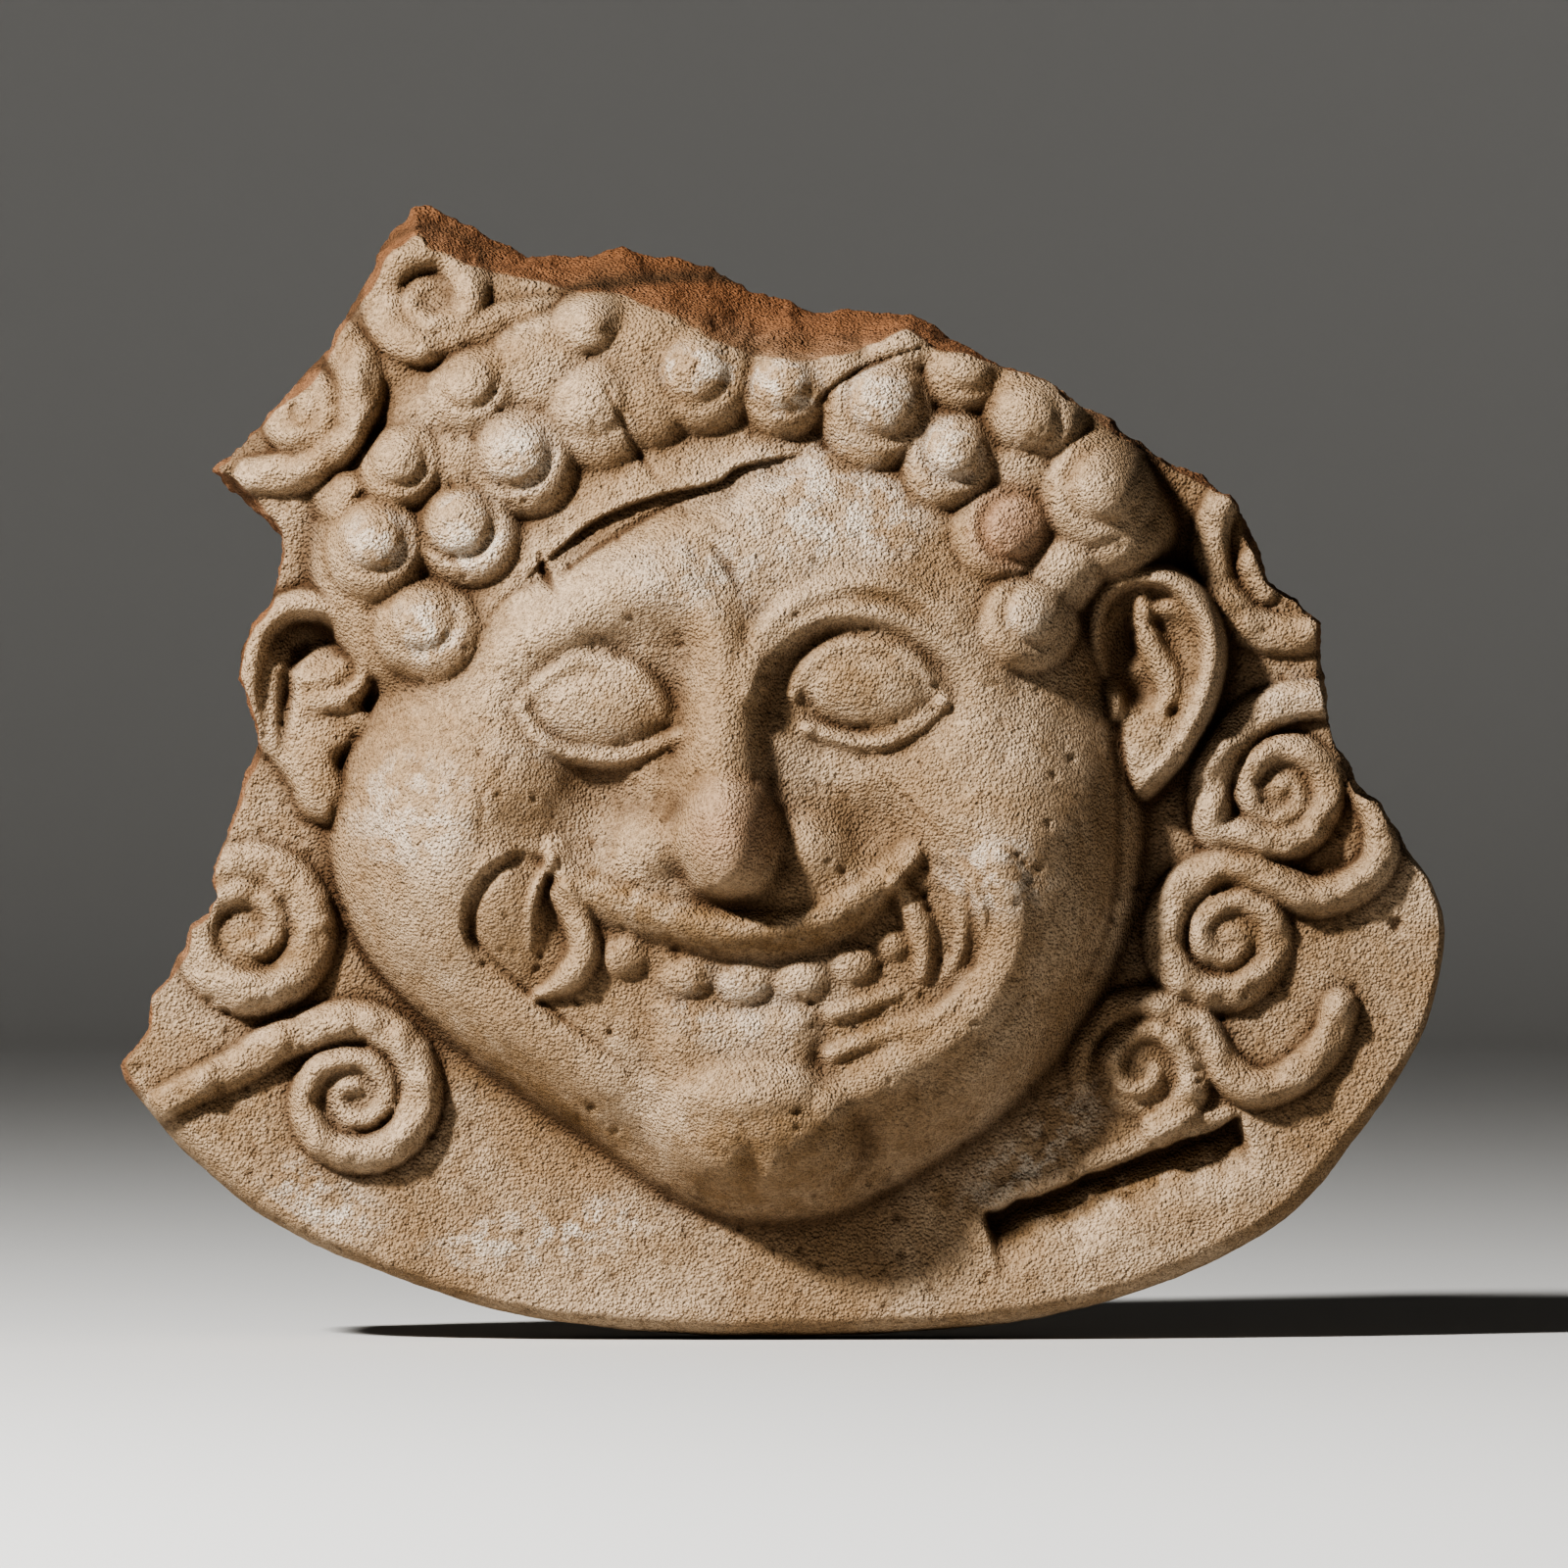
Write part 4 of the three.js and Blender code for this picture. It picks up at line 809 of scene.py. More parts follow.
SNAKES = (
    Snake(((-38, 84.4), (-45.5, 83.2), (-52, 81)), (3.4, 3.8, 3.8, 3.4, 2.4), (3.4, 4.8, 5, 4.6, 3.6),
          (-59.8, 87.6), (8.4, 8.2, 7.6, 6.2, 4.2, 1.6), -66, -1.5),
    Snake(((-77.8, 83), (-73.4, 77.4), (-71.6, 70.6), (-74, 63), (-81, 58.2), (-90, 57.2)),
          (3.6, 4, 3.8, 3.2), (3.6, 5.6, 5.4, 4.2)),
    Snake((), (2.6, 3, 2.6), (3.4, 4.6, 4), (-82.2, 68.2), (5.4, 4.6, 3, 1), 70, -1.3),
    Snake((), (3.2, 4, 4, 3.4, 2.4), (4.2, 5.2, 5, 4.4, 3.6), (-90.4, -20.3),
          (12.4, 10.6, 9.8, 8.4, 4.6, 2), 120, -1.6),
    Snake(((-108, -51), (-101.3, -47), (-93, -43.2), (-85.6, -38.6)), (2.6, 3.4, 3.6, 3.6, 2.8, 2.4, 2),
          (3.6, 5.2, 5.4, 5, 4.2, 3.8), (-72.5, -47.6), (12.8, 10.8, 9.8, 6.4, 4.9, 3.2, 1.2), 114, -2.05),
    Snake(((97, 18.8), (91, 19.4), (84.6, 18.6), (77.4, 14.6), (72.6, 6.6), (73.2, -2.4)),
          (3, 3.6, 3.6, 3, 2.7, 2.3), (4.2, 5.4, 5, 4.6, 4.2, 3.6), (84.7, 3.8),
          (9.4, 7.4, 7.2, 6.6, 4.6, 2.6, 1), 236, 1.55),
    Snake(((98.6, 4.2), (101.2, -2.5), (100.5, -8.6), (95.8, -12.8), (89.3, -14.2), (82, -11), (75.2, -9)),
          (2.8, 3.3, 3.5, 3.4, 2.8, 2.3), (4.2, 5.4, 5.2, 4.8, 4.2, 3.6), (75.8, -21.2),
          (11.8, 11.2, 7.6, 7.2, 5.8, 4, 2.4, 0.9), 118, 1.85),
    Snake(((94.2, -32.8), (92.2, -39), (86.6, -44.4), (79.8, -46.6), (74.4, -43), (70.4, -36)),
          (3.1, 3.3, 3.1, 2), (4.4, 5.2, 4.8, 1.5), (60.4, -43), (11.2, 10.8, 10.6, 10.2), 46, 0.42),
    Snake((), (3, 3, 2.5, 2), (3.6, 5, 4.4, 3.6), (61, -42.8), (10.4, 7.2, 5.6, 4, 1.6), 284, 1.2),
    Snake(((74.6, 53.6), (72.4, 47.5), (72.8, 40), (76.6, 33.4), (83.4, 30.2), (91, 31)), (2.9, 3.6, 3.2),
          (3.4, 4.6, 4.0)),
    Snake(((82.6, 46), (80, 42), (81.4, 37.8)), (2.4, 3.0, 2.4), (2.6, 3.6, 2.6)),
)


@dataclass(frozen=True)
class Losses:
    """Cuts, flakes and cracks in the clay."""

    slot_middle: Point = (57.2, -65.4)
    slot_turn: float = 20.3
    slot_half: Point = (24.0, 6.2)
    slot_depth: float = 6.0
    slot_ragged: Sequence[tuple[float, float]] = ((1.6, 0.45), (4.0, 0.35))  # size and weight of its lumps
    slot_ends: float = 2.4
    slot_lip: float = 1.2
    slot_ramp: tuple[float, float] = (1.7, 1.5)  # length of the ramp in half widths, and its bend
    flake: Sequence[Point] = (
        (-40.5, 42.6), (-32.2, 49.4), (-21.3, 53.8), (-11.7, 56), (-7.3, 58.8), (2.3, 61), (6.1, 63))
    flake_depth: float = 3.0
    flake_reach: float = 7.5
    flake_ledge: float = 0.5
    flake_middle: float = 0.45  # where it is deepest, as a share of its upper edge
    flake_half: float = 0.5
    flake_softening: float = 0.2
    cracks: Sequence[tuple[Sequence[Point], float, float]] = (
        (((-54, -19), (-46, -27.5), (-38, -34), (-30, -40), (-25, -44.5)), 0.8, 0.7),
        (((-77, -8), (-75.2, -16), (-70.8, -25), (-64.4, -32), (-56.7, -37.6)), 1.0, 0.7),
        (((55.5, 12), (56.6, 2), (56.5, -10), (54.6, -20), (51, -28)), 1.3, 1.2),
        (((5.5, 68.7), (10, 73), (17, 76.5), (24.7, 79)), 0.8, 1.2),
        (((-11.7, 44.5), (-9, 41), (-7.3, 37.5)), 1.4, 1.2),
        (((12.5, 9.5), (17, 6), (22, 0.7), (27, -4), (31, -9)), 0.8, 0.6),
        (((-46.2, 8.3), (-50, 4), (-50.7, 0.7), (-50.7, -5.8)), 0.7, 0.5),
        (((-39.2, 39.2), (-31, 45), (-22, 50.5), (-14, 54)), 0.8, 1.0),
        (((-50, 33), (-46, 37), (-39.6, 40)), 0.7, 0.7),
        (((-41, 43.6), (-40.2, 40.4), (-38.4, 37)), 1.3, 1.8),
        (((-30, 72), (-26, 64), (-24, 60), (-20, 55)), 0.9, 1.1),
        (((103, -18.4), (105, -19.2)), 1.5, 1.3))
    crack_widths: Sequence[float] = (0.6, 1.0, 0.6)  # along a crack, as shares of its own
    crack_depths: Sequence[float] = (0.5, 1.0, 0.4)

    def slot(self, clay: Clay, rng: np.random.Generator) -> Layer:
        """Sink the slot, steep and ragged on its upper side and ramped below.

        Args:
            clay: The clay whose grid the heights are laid on.
            rng: Source of chance.

        Returns:
            Its depth as a layer.
        """
        x, z = clay.x[None, :] - self.slot_middle[0], clay.z[:, None] - self.slot_middle[1]
        cos, sin = math.cos(math.radians(self.slot_turn)), math.sin(math.radians(self.slot_turn))
        ragged = sum(weight * clay.grain(rng, size) for size, weight in self.slot_ragged)
        along, across = x * cos + z * sin, z * cos - x * sin + ragged
        ends = ease((self.slot_half[0] - np.abs(along + ragged)) / self.slot_ends)
        steep = ease((self.slot_half[1] - across) / self.slot_lip)
        length, bend = self.slot_ramp
        ramp = np.clip((across + self.slot_half[1]) / (length * self.slot_half[1]), 0, 1) ** bend
        return self.slot_depth * ends * steep * ramp

    def lost_flake(self, clay: Clay) -> Layer:
        """Sink the flake lost from the forehead, below its ragged upper edge.

        Args:
            clay: The clay whose grid the heights are laid on.

        Returns:
            Its depth as a layer.
        """
        share, place, side = clay.follow(smooth_run(self.flake), (self.flake_reach, self.flake_reach))
        below = ease(-side / self.flake_ledge) * ease(1.5 - 1.5 * share)
        ends = np.clip(1 - (np.abs(place - self.flake_middle) / self.flake_half) ** 4, 0, 1)
        return clay.soften(self.flake_depth * below * ends, self.flake_softening)

    def carve(self, clay: Clay, rng: np.random.Generator) -> Layer:
        """Return everything that is cut or lost, as depth.

        Args:
            clay: The clay whose grid the heights are laid on.
            rng: Source of chance.

        Returns:
            The depth as a layer.
        """
        cut = clay.blank()
        for points, width, depth in self.cracks:
            widths = [width * share for share in self.crack_widths]
            depths = [depth * share for share in self.crack_depths]
            cut = np.maximum(cut, Ridge(points, widths, depths, 1).layer(clay))
        return cut + self.slot(clay, rng) + self.lost_flake(clay)


class EdgeKind(Enum):
    """What an edge of the piece is: the first rim, or a later break."""

    RIM = 0
    BREAK = 1


@dataclass(frozen=True)
class Edge:
    """The edge of the piece, clockwise from the right rim: place, and how far its front is set back."""

    rim: Sequence[tuple[float, float, float]] = (
        (107.5, -8, 1.2), (110.3, -12.2, 1.2), (112.3, -21, 1.4), (109.8, -34.5, 1.5), (105.1, -43.8, 2),
        (97, -55.5, 3), (84, -69.8, 3.5), (60, -81.4, 3.5), (34.3, -87, 3.5), (0.3, -88.8, 3.5),
        (-27.3, -87.7, 3.2), (-52.8, -83.3, 2.6), (-82.7, -71.8, 3.2), (-100, -59.3, 4.5),
        (-111.9, -45.8, 2))
    broken: Sequence[tuple[float, float, float]] = (
        (-112.8, -42.7, 1), (-108, -36.3, 1), (-107.7, -31.2, 1), (-104.5, -27.3, 1), (-101.7, -23, 1),
        (-101.3, -19.2, 1), (-98.2, -17.2, 1), (-96.6, -14, 1), (-97.2, -8.8, 1), (-94.7, -2.5, 1),
        (-91.2, 6.3, 1), (-89, 10.8, 1), (-91.2, 19.6, 1), (-93, 23.3, 1), (-91.2, 31, 1), (-87.3, 35.5, 1),
        (-85.4, 44.5, 1), (-86, 47.7, 1.2), (-90.5, 52.2, 1.5), (-97.5, 58.5, 1.5), (-92.5, 63, 1.2),
        (-86.7, 68.7, 1), (-81.3, 73.8, 1), (-76.5, 80.2, 1), (-72.7, 87.2, 1.2), (-68.8, 94.8, 2),
        (-63.7, 103.5, 6), (-61.7, 103.2, 7), (-55.5, 101.2, 7), (-51.7, 98, 6), (-44, 94.8, 4.5),
        (-34, 94.5, 6.5), (-27.7, 96, 8), (-23.2, 94.5, 8), (-16.7, 93.3, 10), (-11.7, 92, 11.5),
        (-5.3, 89.7, 12), (1, 87.8, 12), (7.3, 85.6, 10), (12.5, 85, 7.5), (17.6, 84.3, 4.5),
        (21.4, 85.1, 3.5), (26.2, 82, 4), (33.3, 78.2, 2), (42.2, 74.3, 1), (53, 67.3, 1), (60.7, 63.2, 1),
        (71.5, 56.5, 1), (76.6, 53, 1), (79.2, 46.9, 1), (82.3, 39.9, 1), (87.5, 36.1, 1), (90.7, 32.3, 1),
        (91.9, 20.8, 1), (94.2, 11.8, 1), (97.7, 4.2, 1), (101.6, 1.2, 1), (104.5, -3.6, 1))
    depths: tuple[float, float] = (12.0, 5.0)
    back_bevel: float = 0.8
    step: float = 0.45
    turn_softening: float = 6.0  # reach of the softening of the way out, in millimetres
    inset_softening: float = 1.5
    depth_softening: float = 4.0
    front_ragged: float = 0.9
    ragged: float = 0.28
    lumps: Sequence[tuple[float, float]] = ((0.8, 1.0), (1.6, 2.4), (4.0, 5.0))  # size and weight

    def trace(self, rng: np.random.Generator) -> dict[str, np.ndarray]:
        """Trace the edge at an even step.

        Args:
            rng: Source of the small raggedness of the breaks.

        Returns:
            Rings of the silhouette, the front edge and the back edge, with each place's depth and kind.
        """
        rim = smooth_run(self.rim, steps=12)
        rows = np.vstack([
            np.column_stack([rim, np.full(len(rim), EdgeKind.RIM.value)]),
            np.column_stack([np.array(self.broken, float), np.full(len(self.broken), EdgeKind.BREAK.value)])])
        ring = np.vstack([rows, rows[:1]])
        run = np.concatenate([[0], np.cumsum(np.hypot(*np.diff(ring[:, :2], axis=0).T))])
        at = np.linspace(0, run[-1], int(run[-1] / self.step), endpoint=False)
        x, z, inset, kind = (np.interp(at, run, ring[:, k]) for k in range(4))
        outline = np.column_stack([x, z])
        smooth = wrapped_soften(outline, self.turn_softening / self.step)
        along = np.roll(smooth, -1, 0) - np.roll(smooth, 1, 0)
        along /= np.hypot(*along.T)[:, None]
        outward = np.column_stack([-along[:, 1], along[:, 0]])
        rough = sum(wrapped_soften(rng.normal(size=(len(at), 2)), size / self.step) * weight
                    for size, weight in self.lumps)
        ragged = self.ragged * rough * kind[:, None]
        inset = wrapped_soften(inset[:, None], self.inset_softening / self.step)[:, 0]
        depth = self.depths[0] + (self.depths[1] - self.depths[0]) * kind
        return {
            "silhouette": outline + ragged[:, :1] * outward,
            "front": outline - (inset[:, None] - self.front_ragged * ragged[:, 1:]) * outward,
            "back": outline - self.back_bevel * outward,
            "depth": wrapped_soften(depth[:, None], self.depth_softening / self.step)[:, 0],
            "kind": kind,
        }

    @staticmethod
    def places(loop: np.ndarray, front: np.ndarray) -> np.ndarray:
        """Give each point of a loop its own place on the traced front edge.

        Args:
            loop: Points near the front edge, in order round it.
            front: The traced front edge.

        Returns:
            One place for each point, spread so that no two share one.
        """
        count = len(front)
        nearest = np.array([int(np.argmin(((front - point) ** 2).sum(1))) for point in loop])
        steps = (np.diff(nearest, append=nearest[0]) + count / 2) % count - count / 2
        turn = np.sign(steps.sum()) * count
        even = nearest[0] + turn * np.arange(len(loop)) / len(loop)
        walked = nearest[0] + np.concatenate([[0], np.cumsum(steps[:-1])])
        return (even + wrapped_soften((walked - even)[:, None], 2.0)[:, 0]) % count


def between(rows: np.ndarray, place: float) -> np.ndarray:
    """Read rows that run round a closed ring, at a place between two of them.

    Args:
        rows: One row for each step round the ring.
        place: Where to read, in steps.

    Returns:
        The row at the place.
    """
    first = int(place)
    share = place - first
    return rows[first % len(rows)] * (1 - share) + rows[(first + 1) % len(rows)] * share


def open_loop(bm: bmesh.types.BMesh) -> list[bmesh.types.BMVert]:
    """Return the vertices of a mesh's one open edge, in order round it.

    Args:
        bm: The mesh.

    Returns:
        Its vertices in order.
    """
    edge = next(item for item in bm.edges if item.is_boundary)
    first = edge.verts[0]
    loop = [first]
    vert = edge.other_vert(first)
    while vert is not first:
        loop.append(vert)
        edge = next(item for item in vert.link_edges if item.is_boundary and item is not edge)
        vert = edge.other_vert(vert)
    return loop


def wrapped_soften(rows: np.ndarray, size: float) -> np.ndarray:
    """Soften rows that run round a closed ring.

    Args:
        rows: One row for each place on the ring.
        size: Reach of the softening, in rows.

    Returns:
        The softened rows.
    """
    reach = int(math.ceil(3 * size))
    weights = np.exp(-0.5 * (np.arange(-reach, reach + 1) / size) ** 2)
    weights /= weights.sum()
    return sum(w * np.roll(rows, k - reach, 0) for k, w in enumerate(weights))


@dataclass(frozen=True)
class Wear:
    """What sand, mould and time leave on the surface."""

    lumps: Sequence[tuple[float, float]] = ((9.0, 0.26), (3.2, 0.20), (1.5, 0.06), (0.5, 0.035))
    pits: int = 2000
    pit_radius: tuple[float, float] = (0.4, 1.1)
    pit_bias: float = 1.5  # power that keeps most pits small
    pit_narrow: float = 0.6  # the narrowest pit, as a share of its length
    pit_depth: float = 0.5  # as a share of its radius

    def carve(self, clay: Clay, rng: np.random.Generator) -> Layer:
        """Return the surface's lumps with its pits sunk in.

        Args:
            clay: The clay whose grid the heights are laid on.
            rng: Source of chance.

        Returns:
            The heights as a layer.
        """
        out = sum(clay.grain(rng, size) * height for size, height in self.lumps)
        for _ in range(self.pits):
            centre = (rng.uniform(clay.x[0], clay.x[-1]), rng.uniform(clay.z[0], clay.z[-1]))
            radius = rng.uniform(*self.pit_radius) ** self.pit_bias
            radii = (radius, radius * rng.uniform(self.pit_narrow, 1))
            out = out - Dome(centre, radii, self.pit_depth * radius, 1.0, rng.uniform(0, 180)).layer(clay)
        return out


@dataclass(frozen=True)
class Paint:
    """Where the colour of the surface changes, as soft patches from 0 to 1."""

    slip: Sequence[Form] = (
        Dome((-44, 60), (7, 7), 0.9, 1), Dome((-68, 46), (8, 6), 0.8, 1), Dome((-53, 47), (8, 8), 1.0, 0.8),
        Dome((-60, 31), (7, 7), 0.9, 1), Dome((-14, 75), (9, 5), 0.9, 1), Dome((0, 72), (8, 6), 0.9, 1),
        Dome((16, 70), (8, 7), 0.9, 1), Dome((28, 61), (7, 7), 0.9, 1), Dome((41, 33), (5, 5), 0.5, 1),
        Dome((8, 52), (20, 14), 0.7, 1), Dome((-10, 40), (22, 8), 0.5, 1), Dome((-62, 0), (14, 12), 0.6, 1),
        Dome((-40, -71), (24, 6), 0.8, 1, 10), Dome((-78, -66), (14, 7), 0.7, 1, -30),
        Dome((40, -60), (14, 6), 0.8, 1, 35), Dome((36, -10), (12, 9), 0.6, 1),
        Dome((-36, 12), (16, 6), 0.3, 1), Dome((-8, -32), (16, 10), 0.4, 1), Dome((88, 20), (9, 6), 0.4, 1),
        Dome((48, -52), (12, 6), 0.5, 1, 35))
    stain: Sequence[Form] = (
        Ridge(((-36, -11), (-24, -16), (-12, -19), (0, -20), (10, -17), (18, -11)), (4, 5, 4),
              (0.9, 1, 0.8), 1),
        Ridge(((36, -70), (58, -62), (76, -55)), (4, 5, 4), (0.8, 1, 0.8), 1),
        Dome((-4, -57), (22, 12), 0.7, 1),
        Ridge(((-60, -34), (-44, -46), (-28, -55)), (7, 8, 7), (0.4, 0.7, 0.5), 1),
        Dome((14, -36), (14, 9), 0.7, 1), Dome((76, -20), (18, 16), 0.4, 1),
        Dome((64, -48), (16, 12), 0.4, 1),
        Dome((-88, -20), (16, 14), 0.5, 1), Dome((-98, -50), (14, 10), 0.5, 1),
        Dome((14, 22), (15, 11), 0.5, 1), Dome((-31, 17), (14, 9), 0.4, 1), Dome((62, 22), (12, 18), 0.4, 1),
        Dome((10, 38), (16, 6), 0.5, 1))
    rosy: Sequence[Form] = (Dome((38, 48), (8, 9), 0.8, 0.8), Dome((-8, -2), (9, 10), 0.6, 1))
    fresh: Sequence[Form] = (
        Ridge(((-70, 96), (-60, 104), (-44, 95), (-26, 96), (0, 88), (22, 84), (36, 78)), (10, 14, 8),
              (0.9, 1, 0.9), 0.4),
        Ridge(((-114, -44), (-104, -26), (-97, -12), (-92, 4), (-92, 22), (-87, 44), (-98, 58),
               (-84, 72), (-70, 92)), (6, 6, 6), (0.7, 0.9, 0.8), 0.6),
        Ridge(((40, 75), (58, 64), (78, 52), (92, 30)), (4, 5, 4), (0.4, 0.8, 0.5), 0.6))

    def layers(self, clay: Clay) -> dict[str, Layer]:
        """Return one layer for each kind of patch."""
        names = ("slip", "stain", "rosy", "fresh")
        return {name: np.clip(highest(clay, getattr(self, name)), 0, 1) for name in names}


@dataclass(frozen=True)
class Shade:
    """Painted shade that darkens the hollows and painted highlight, partly rubbed wear, that lightens the
    crests, both following the relief.
    """

    near: float = 1.2  # reach of the fine relief, in millimetres
    far: float = 4.0  # reach of the broad relief
    # gains of the painted shade that darkens the hollows
    hollow_shade_near: float = 0.9
    hollow_shade_near_share: float = 0.75
    hollow_shade_far: float = 0.16
    # gains of the painted highlight, partly rubbed wear, that lightens the crests
    crest_wear_and_highlight_near: float = 0.8
    crest_wear_and_highlight_near_most: float = 0.6
    crest_wear_and_highlight_far: float = 0.12
    far_most: float = 0.4

    def layers(self, clay: Clay, heights: Layer) -> dict[str, Layer]:
        """Tell hollows from crests at two reaches, for the painted shade and the painted highlight.

        Args:
            clay: The clay whose grid the heights are laid on.
            heights: The heights of the finished relief.

        Returns:
            The layers of the painted shade in the hollows and of the painted highlight, partly rubbed wear,
            on the crests, from 0 to 1.
        """
        near, far = (heights - clay.soften(heights, reach) for reach in (self.near, self.far))
        hollow = np.clip(-near * self.hollow_shade_near, 0, 1) * self.hollow_shade_near_share
        crest = np.clip(near * self.crest_wear_and_highlight_near, 0, self.crest_wear_and_highlight_near_most)
        return {
            "hollow": hollow + np.clip(-far * self.hollow_shade_far, 0, self.far_most),
            "crest": crest + np.clip(far * self.crest_wear_and_highlight_far, 0, self.far_most),
        }


@dataclass(frozen=True)
class Terracotta:
    """The finish of the fired clay: sandy buff body, white slip, stains and fresh red breaks, with painted
    shade in the hollows and between the grains and painted highlight, partly rubbed wear, on the crests.
    """

    body: tuple[float, float, float] = (0.385, 0.265, 0.162)
    pale: tuple[float, float, float] = (0.54, 0.41, 0.285)
    # dark of the clay's specks, also the colour of the painted shade in the hollows and between the grains
    shade_and_speck: tuple[float, float, float] = (0.12, 0.07, 0.038)
    stain: tuple[float, float, float] = (0.27, 0.165, 0.078)
    slip: tuple[float, float, float] = (0.74, 0.66, 0.56)
    fresh: tuple[float, float, float] = (0.29, 0.135, 0.066)
    rosy: tuple[float, float, float] = (0.40, 0.225, 0.15)
    roughness: float = 0.93
    specular: float = 0.22
    broad: Sequence[float] = (38.0, 4, 0.6)  # each noise's scale, detail and roughness, widest first
    middle: Sequence[float] = (240.0, 3, 0.6)
    specks: Sequence[float] = (900.0, 2, 0.5)
    grain: Sequence[float] = (2600.0, 3, 0.65)
    sand: Sequence[float] = (1800.0, 0.75, 0.05)  # spacing, and where a cell gives 0 and 1
    pores: Sequence[float] = (620.0, 0.0, 0.35)
    pale_ramp: Point = (0.38, 0.66)  # where each noise gives 0 and 1 to a coat
    cloud_ramp: Point = (0.45, 0.75)
    stain_ramp: Point = (0.30, 0.62)
    speck_ramp: Point = (0.58, 0.70)
    # painted shade in the gaps between the grains, where the fine noise of the bump is low
    grain_gap_shade_ramp: Point = (0.55, 0.30)
    slip_ramp: Point = (0.42, 0.60)
    slip_grain_ramp: Point = (0.34, 0.52)
    cloud_share: float = 0.35  # strength of each coat at its full
    rosy_share: float = 0.8
    speck_share: float = 0.35
    # strength of the painted shade between the grains
    grain_gap_shade_share: float = 0.5
    # strength of the painted highlight, partly rubbed wear, on the crests
    crest_wear_and_highlight_share: float = 0.45
    bump: float = 0.001
    grain_height: float = 0.42  # shares of the bump
    sand_height: float = 0.36
    pore_height: float = 0.4
    middle_height: float = 0.3

    def material(self) -> bpy.types.Material:
        """Build the material.

        Returns:
            The procedural material, read in object coordinates and from the mesh's own attributes.
        """
        made = bpy.data.materials.new("fired_clay")
        made.use_nodes = True
        nodes = NodeBench(made)
        nodes.shader.inputs["Roughness"].default_value = self.roughness
        nodes.shader.inputs["Specular IOR Level"].default_value = self.specular
        broad, middle, specks, fine = (
            nodes.noise(*kind) for kind in (self.broad, self.middle, self.specks, self.grain))
        slip = nodes.product(nodes.mask("slip"), nodes.ramp(middle, *self.slip_ramp))
        coats = (
            (nodes.ramp(broad, *self.pale_ramp), self.pale),
            (nodes.scale(nodes.ramp(middle, *self.cloud_ramp), self.cloud_share), self.stain),
            (nodes.product(nodes.mask("stain"), nodes.ramp(middle, *self.stain_ramp)), self.stain),
            (nodes.scale(nodes.mask("rosy"), self.rosy_share), self.rosy),
            (nodes.mask("fresh"), self.fresh),
            (nodes.scale(nodes.ramp(specks, *self.speck_ramp), self.speck_share), self.shade_and_speck),
            # painted shade in the gaps between the grains, where the bump is low
            (nodes.scale(nodes.ramp(fine, *self.grain_gap_shade_ramp), self.grain_gap_shade_share), self.shade_and_speck),
            (nodes.product(slip, nodes.ramp(fine, *self.slip_grain_ramp)), self.slip),
            # painted shade darkening the hollows
            (nodes.mask("hollow"), self.shade_and_speck),
            # painted highlight, partly rubbed wear, lightening the crests
            (nodes.scale(nodes.mask("crest"), self.crest_wear_and_highlight_share), self.pale))
        colour = self.body
        for share, coat in coats:
            colour = nodes.mix(share, colour, coat)
        nodes.link(colour, nodes.shader.inputs["Base Color"])
        height = nodes.scale(fine, self.grain_height)
        for layer, share in ((nodes.cells(*self.sand), self.sand_height),
                             (nodes.cells(*self.pores), self.pore_height), (middle, self.middle_height)):
            height = nodes.sum(height, nodes.scale(layer, share))
        nodes.bump(height, self.bump)
        return made


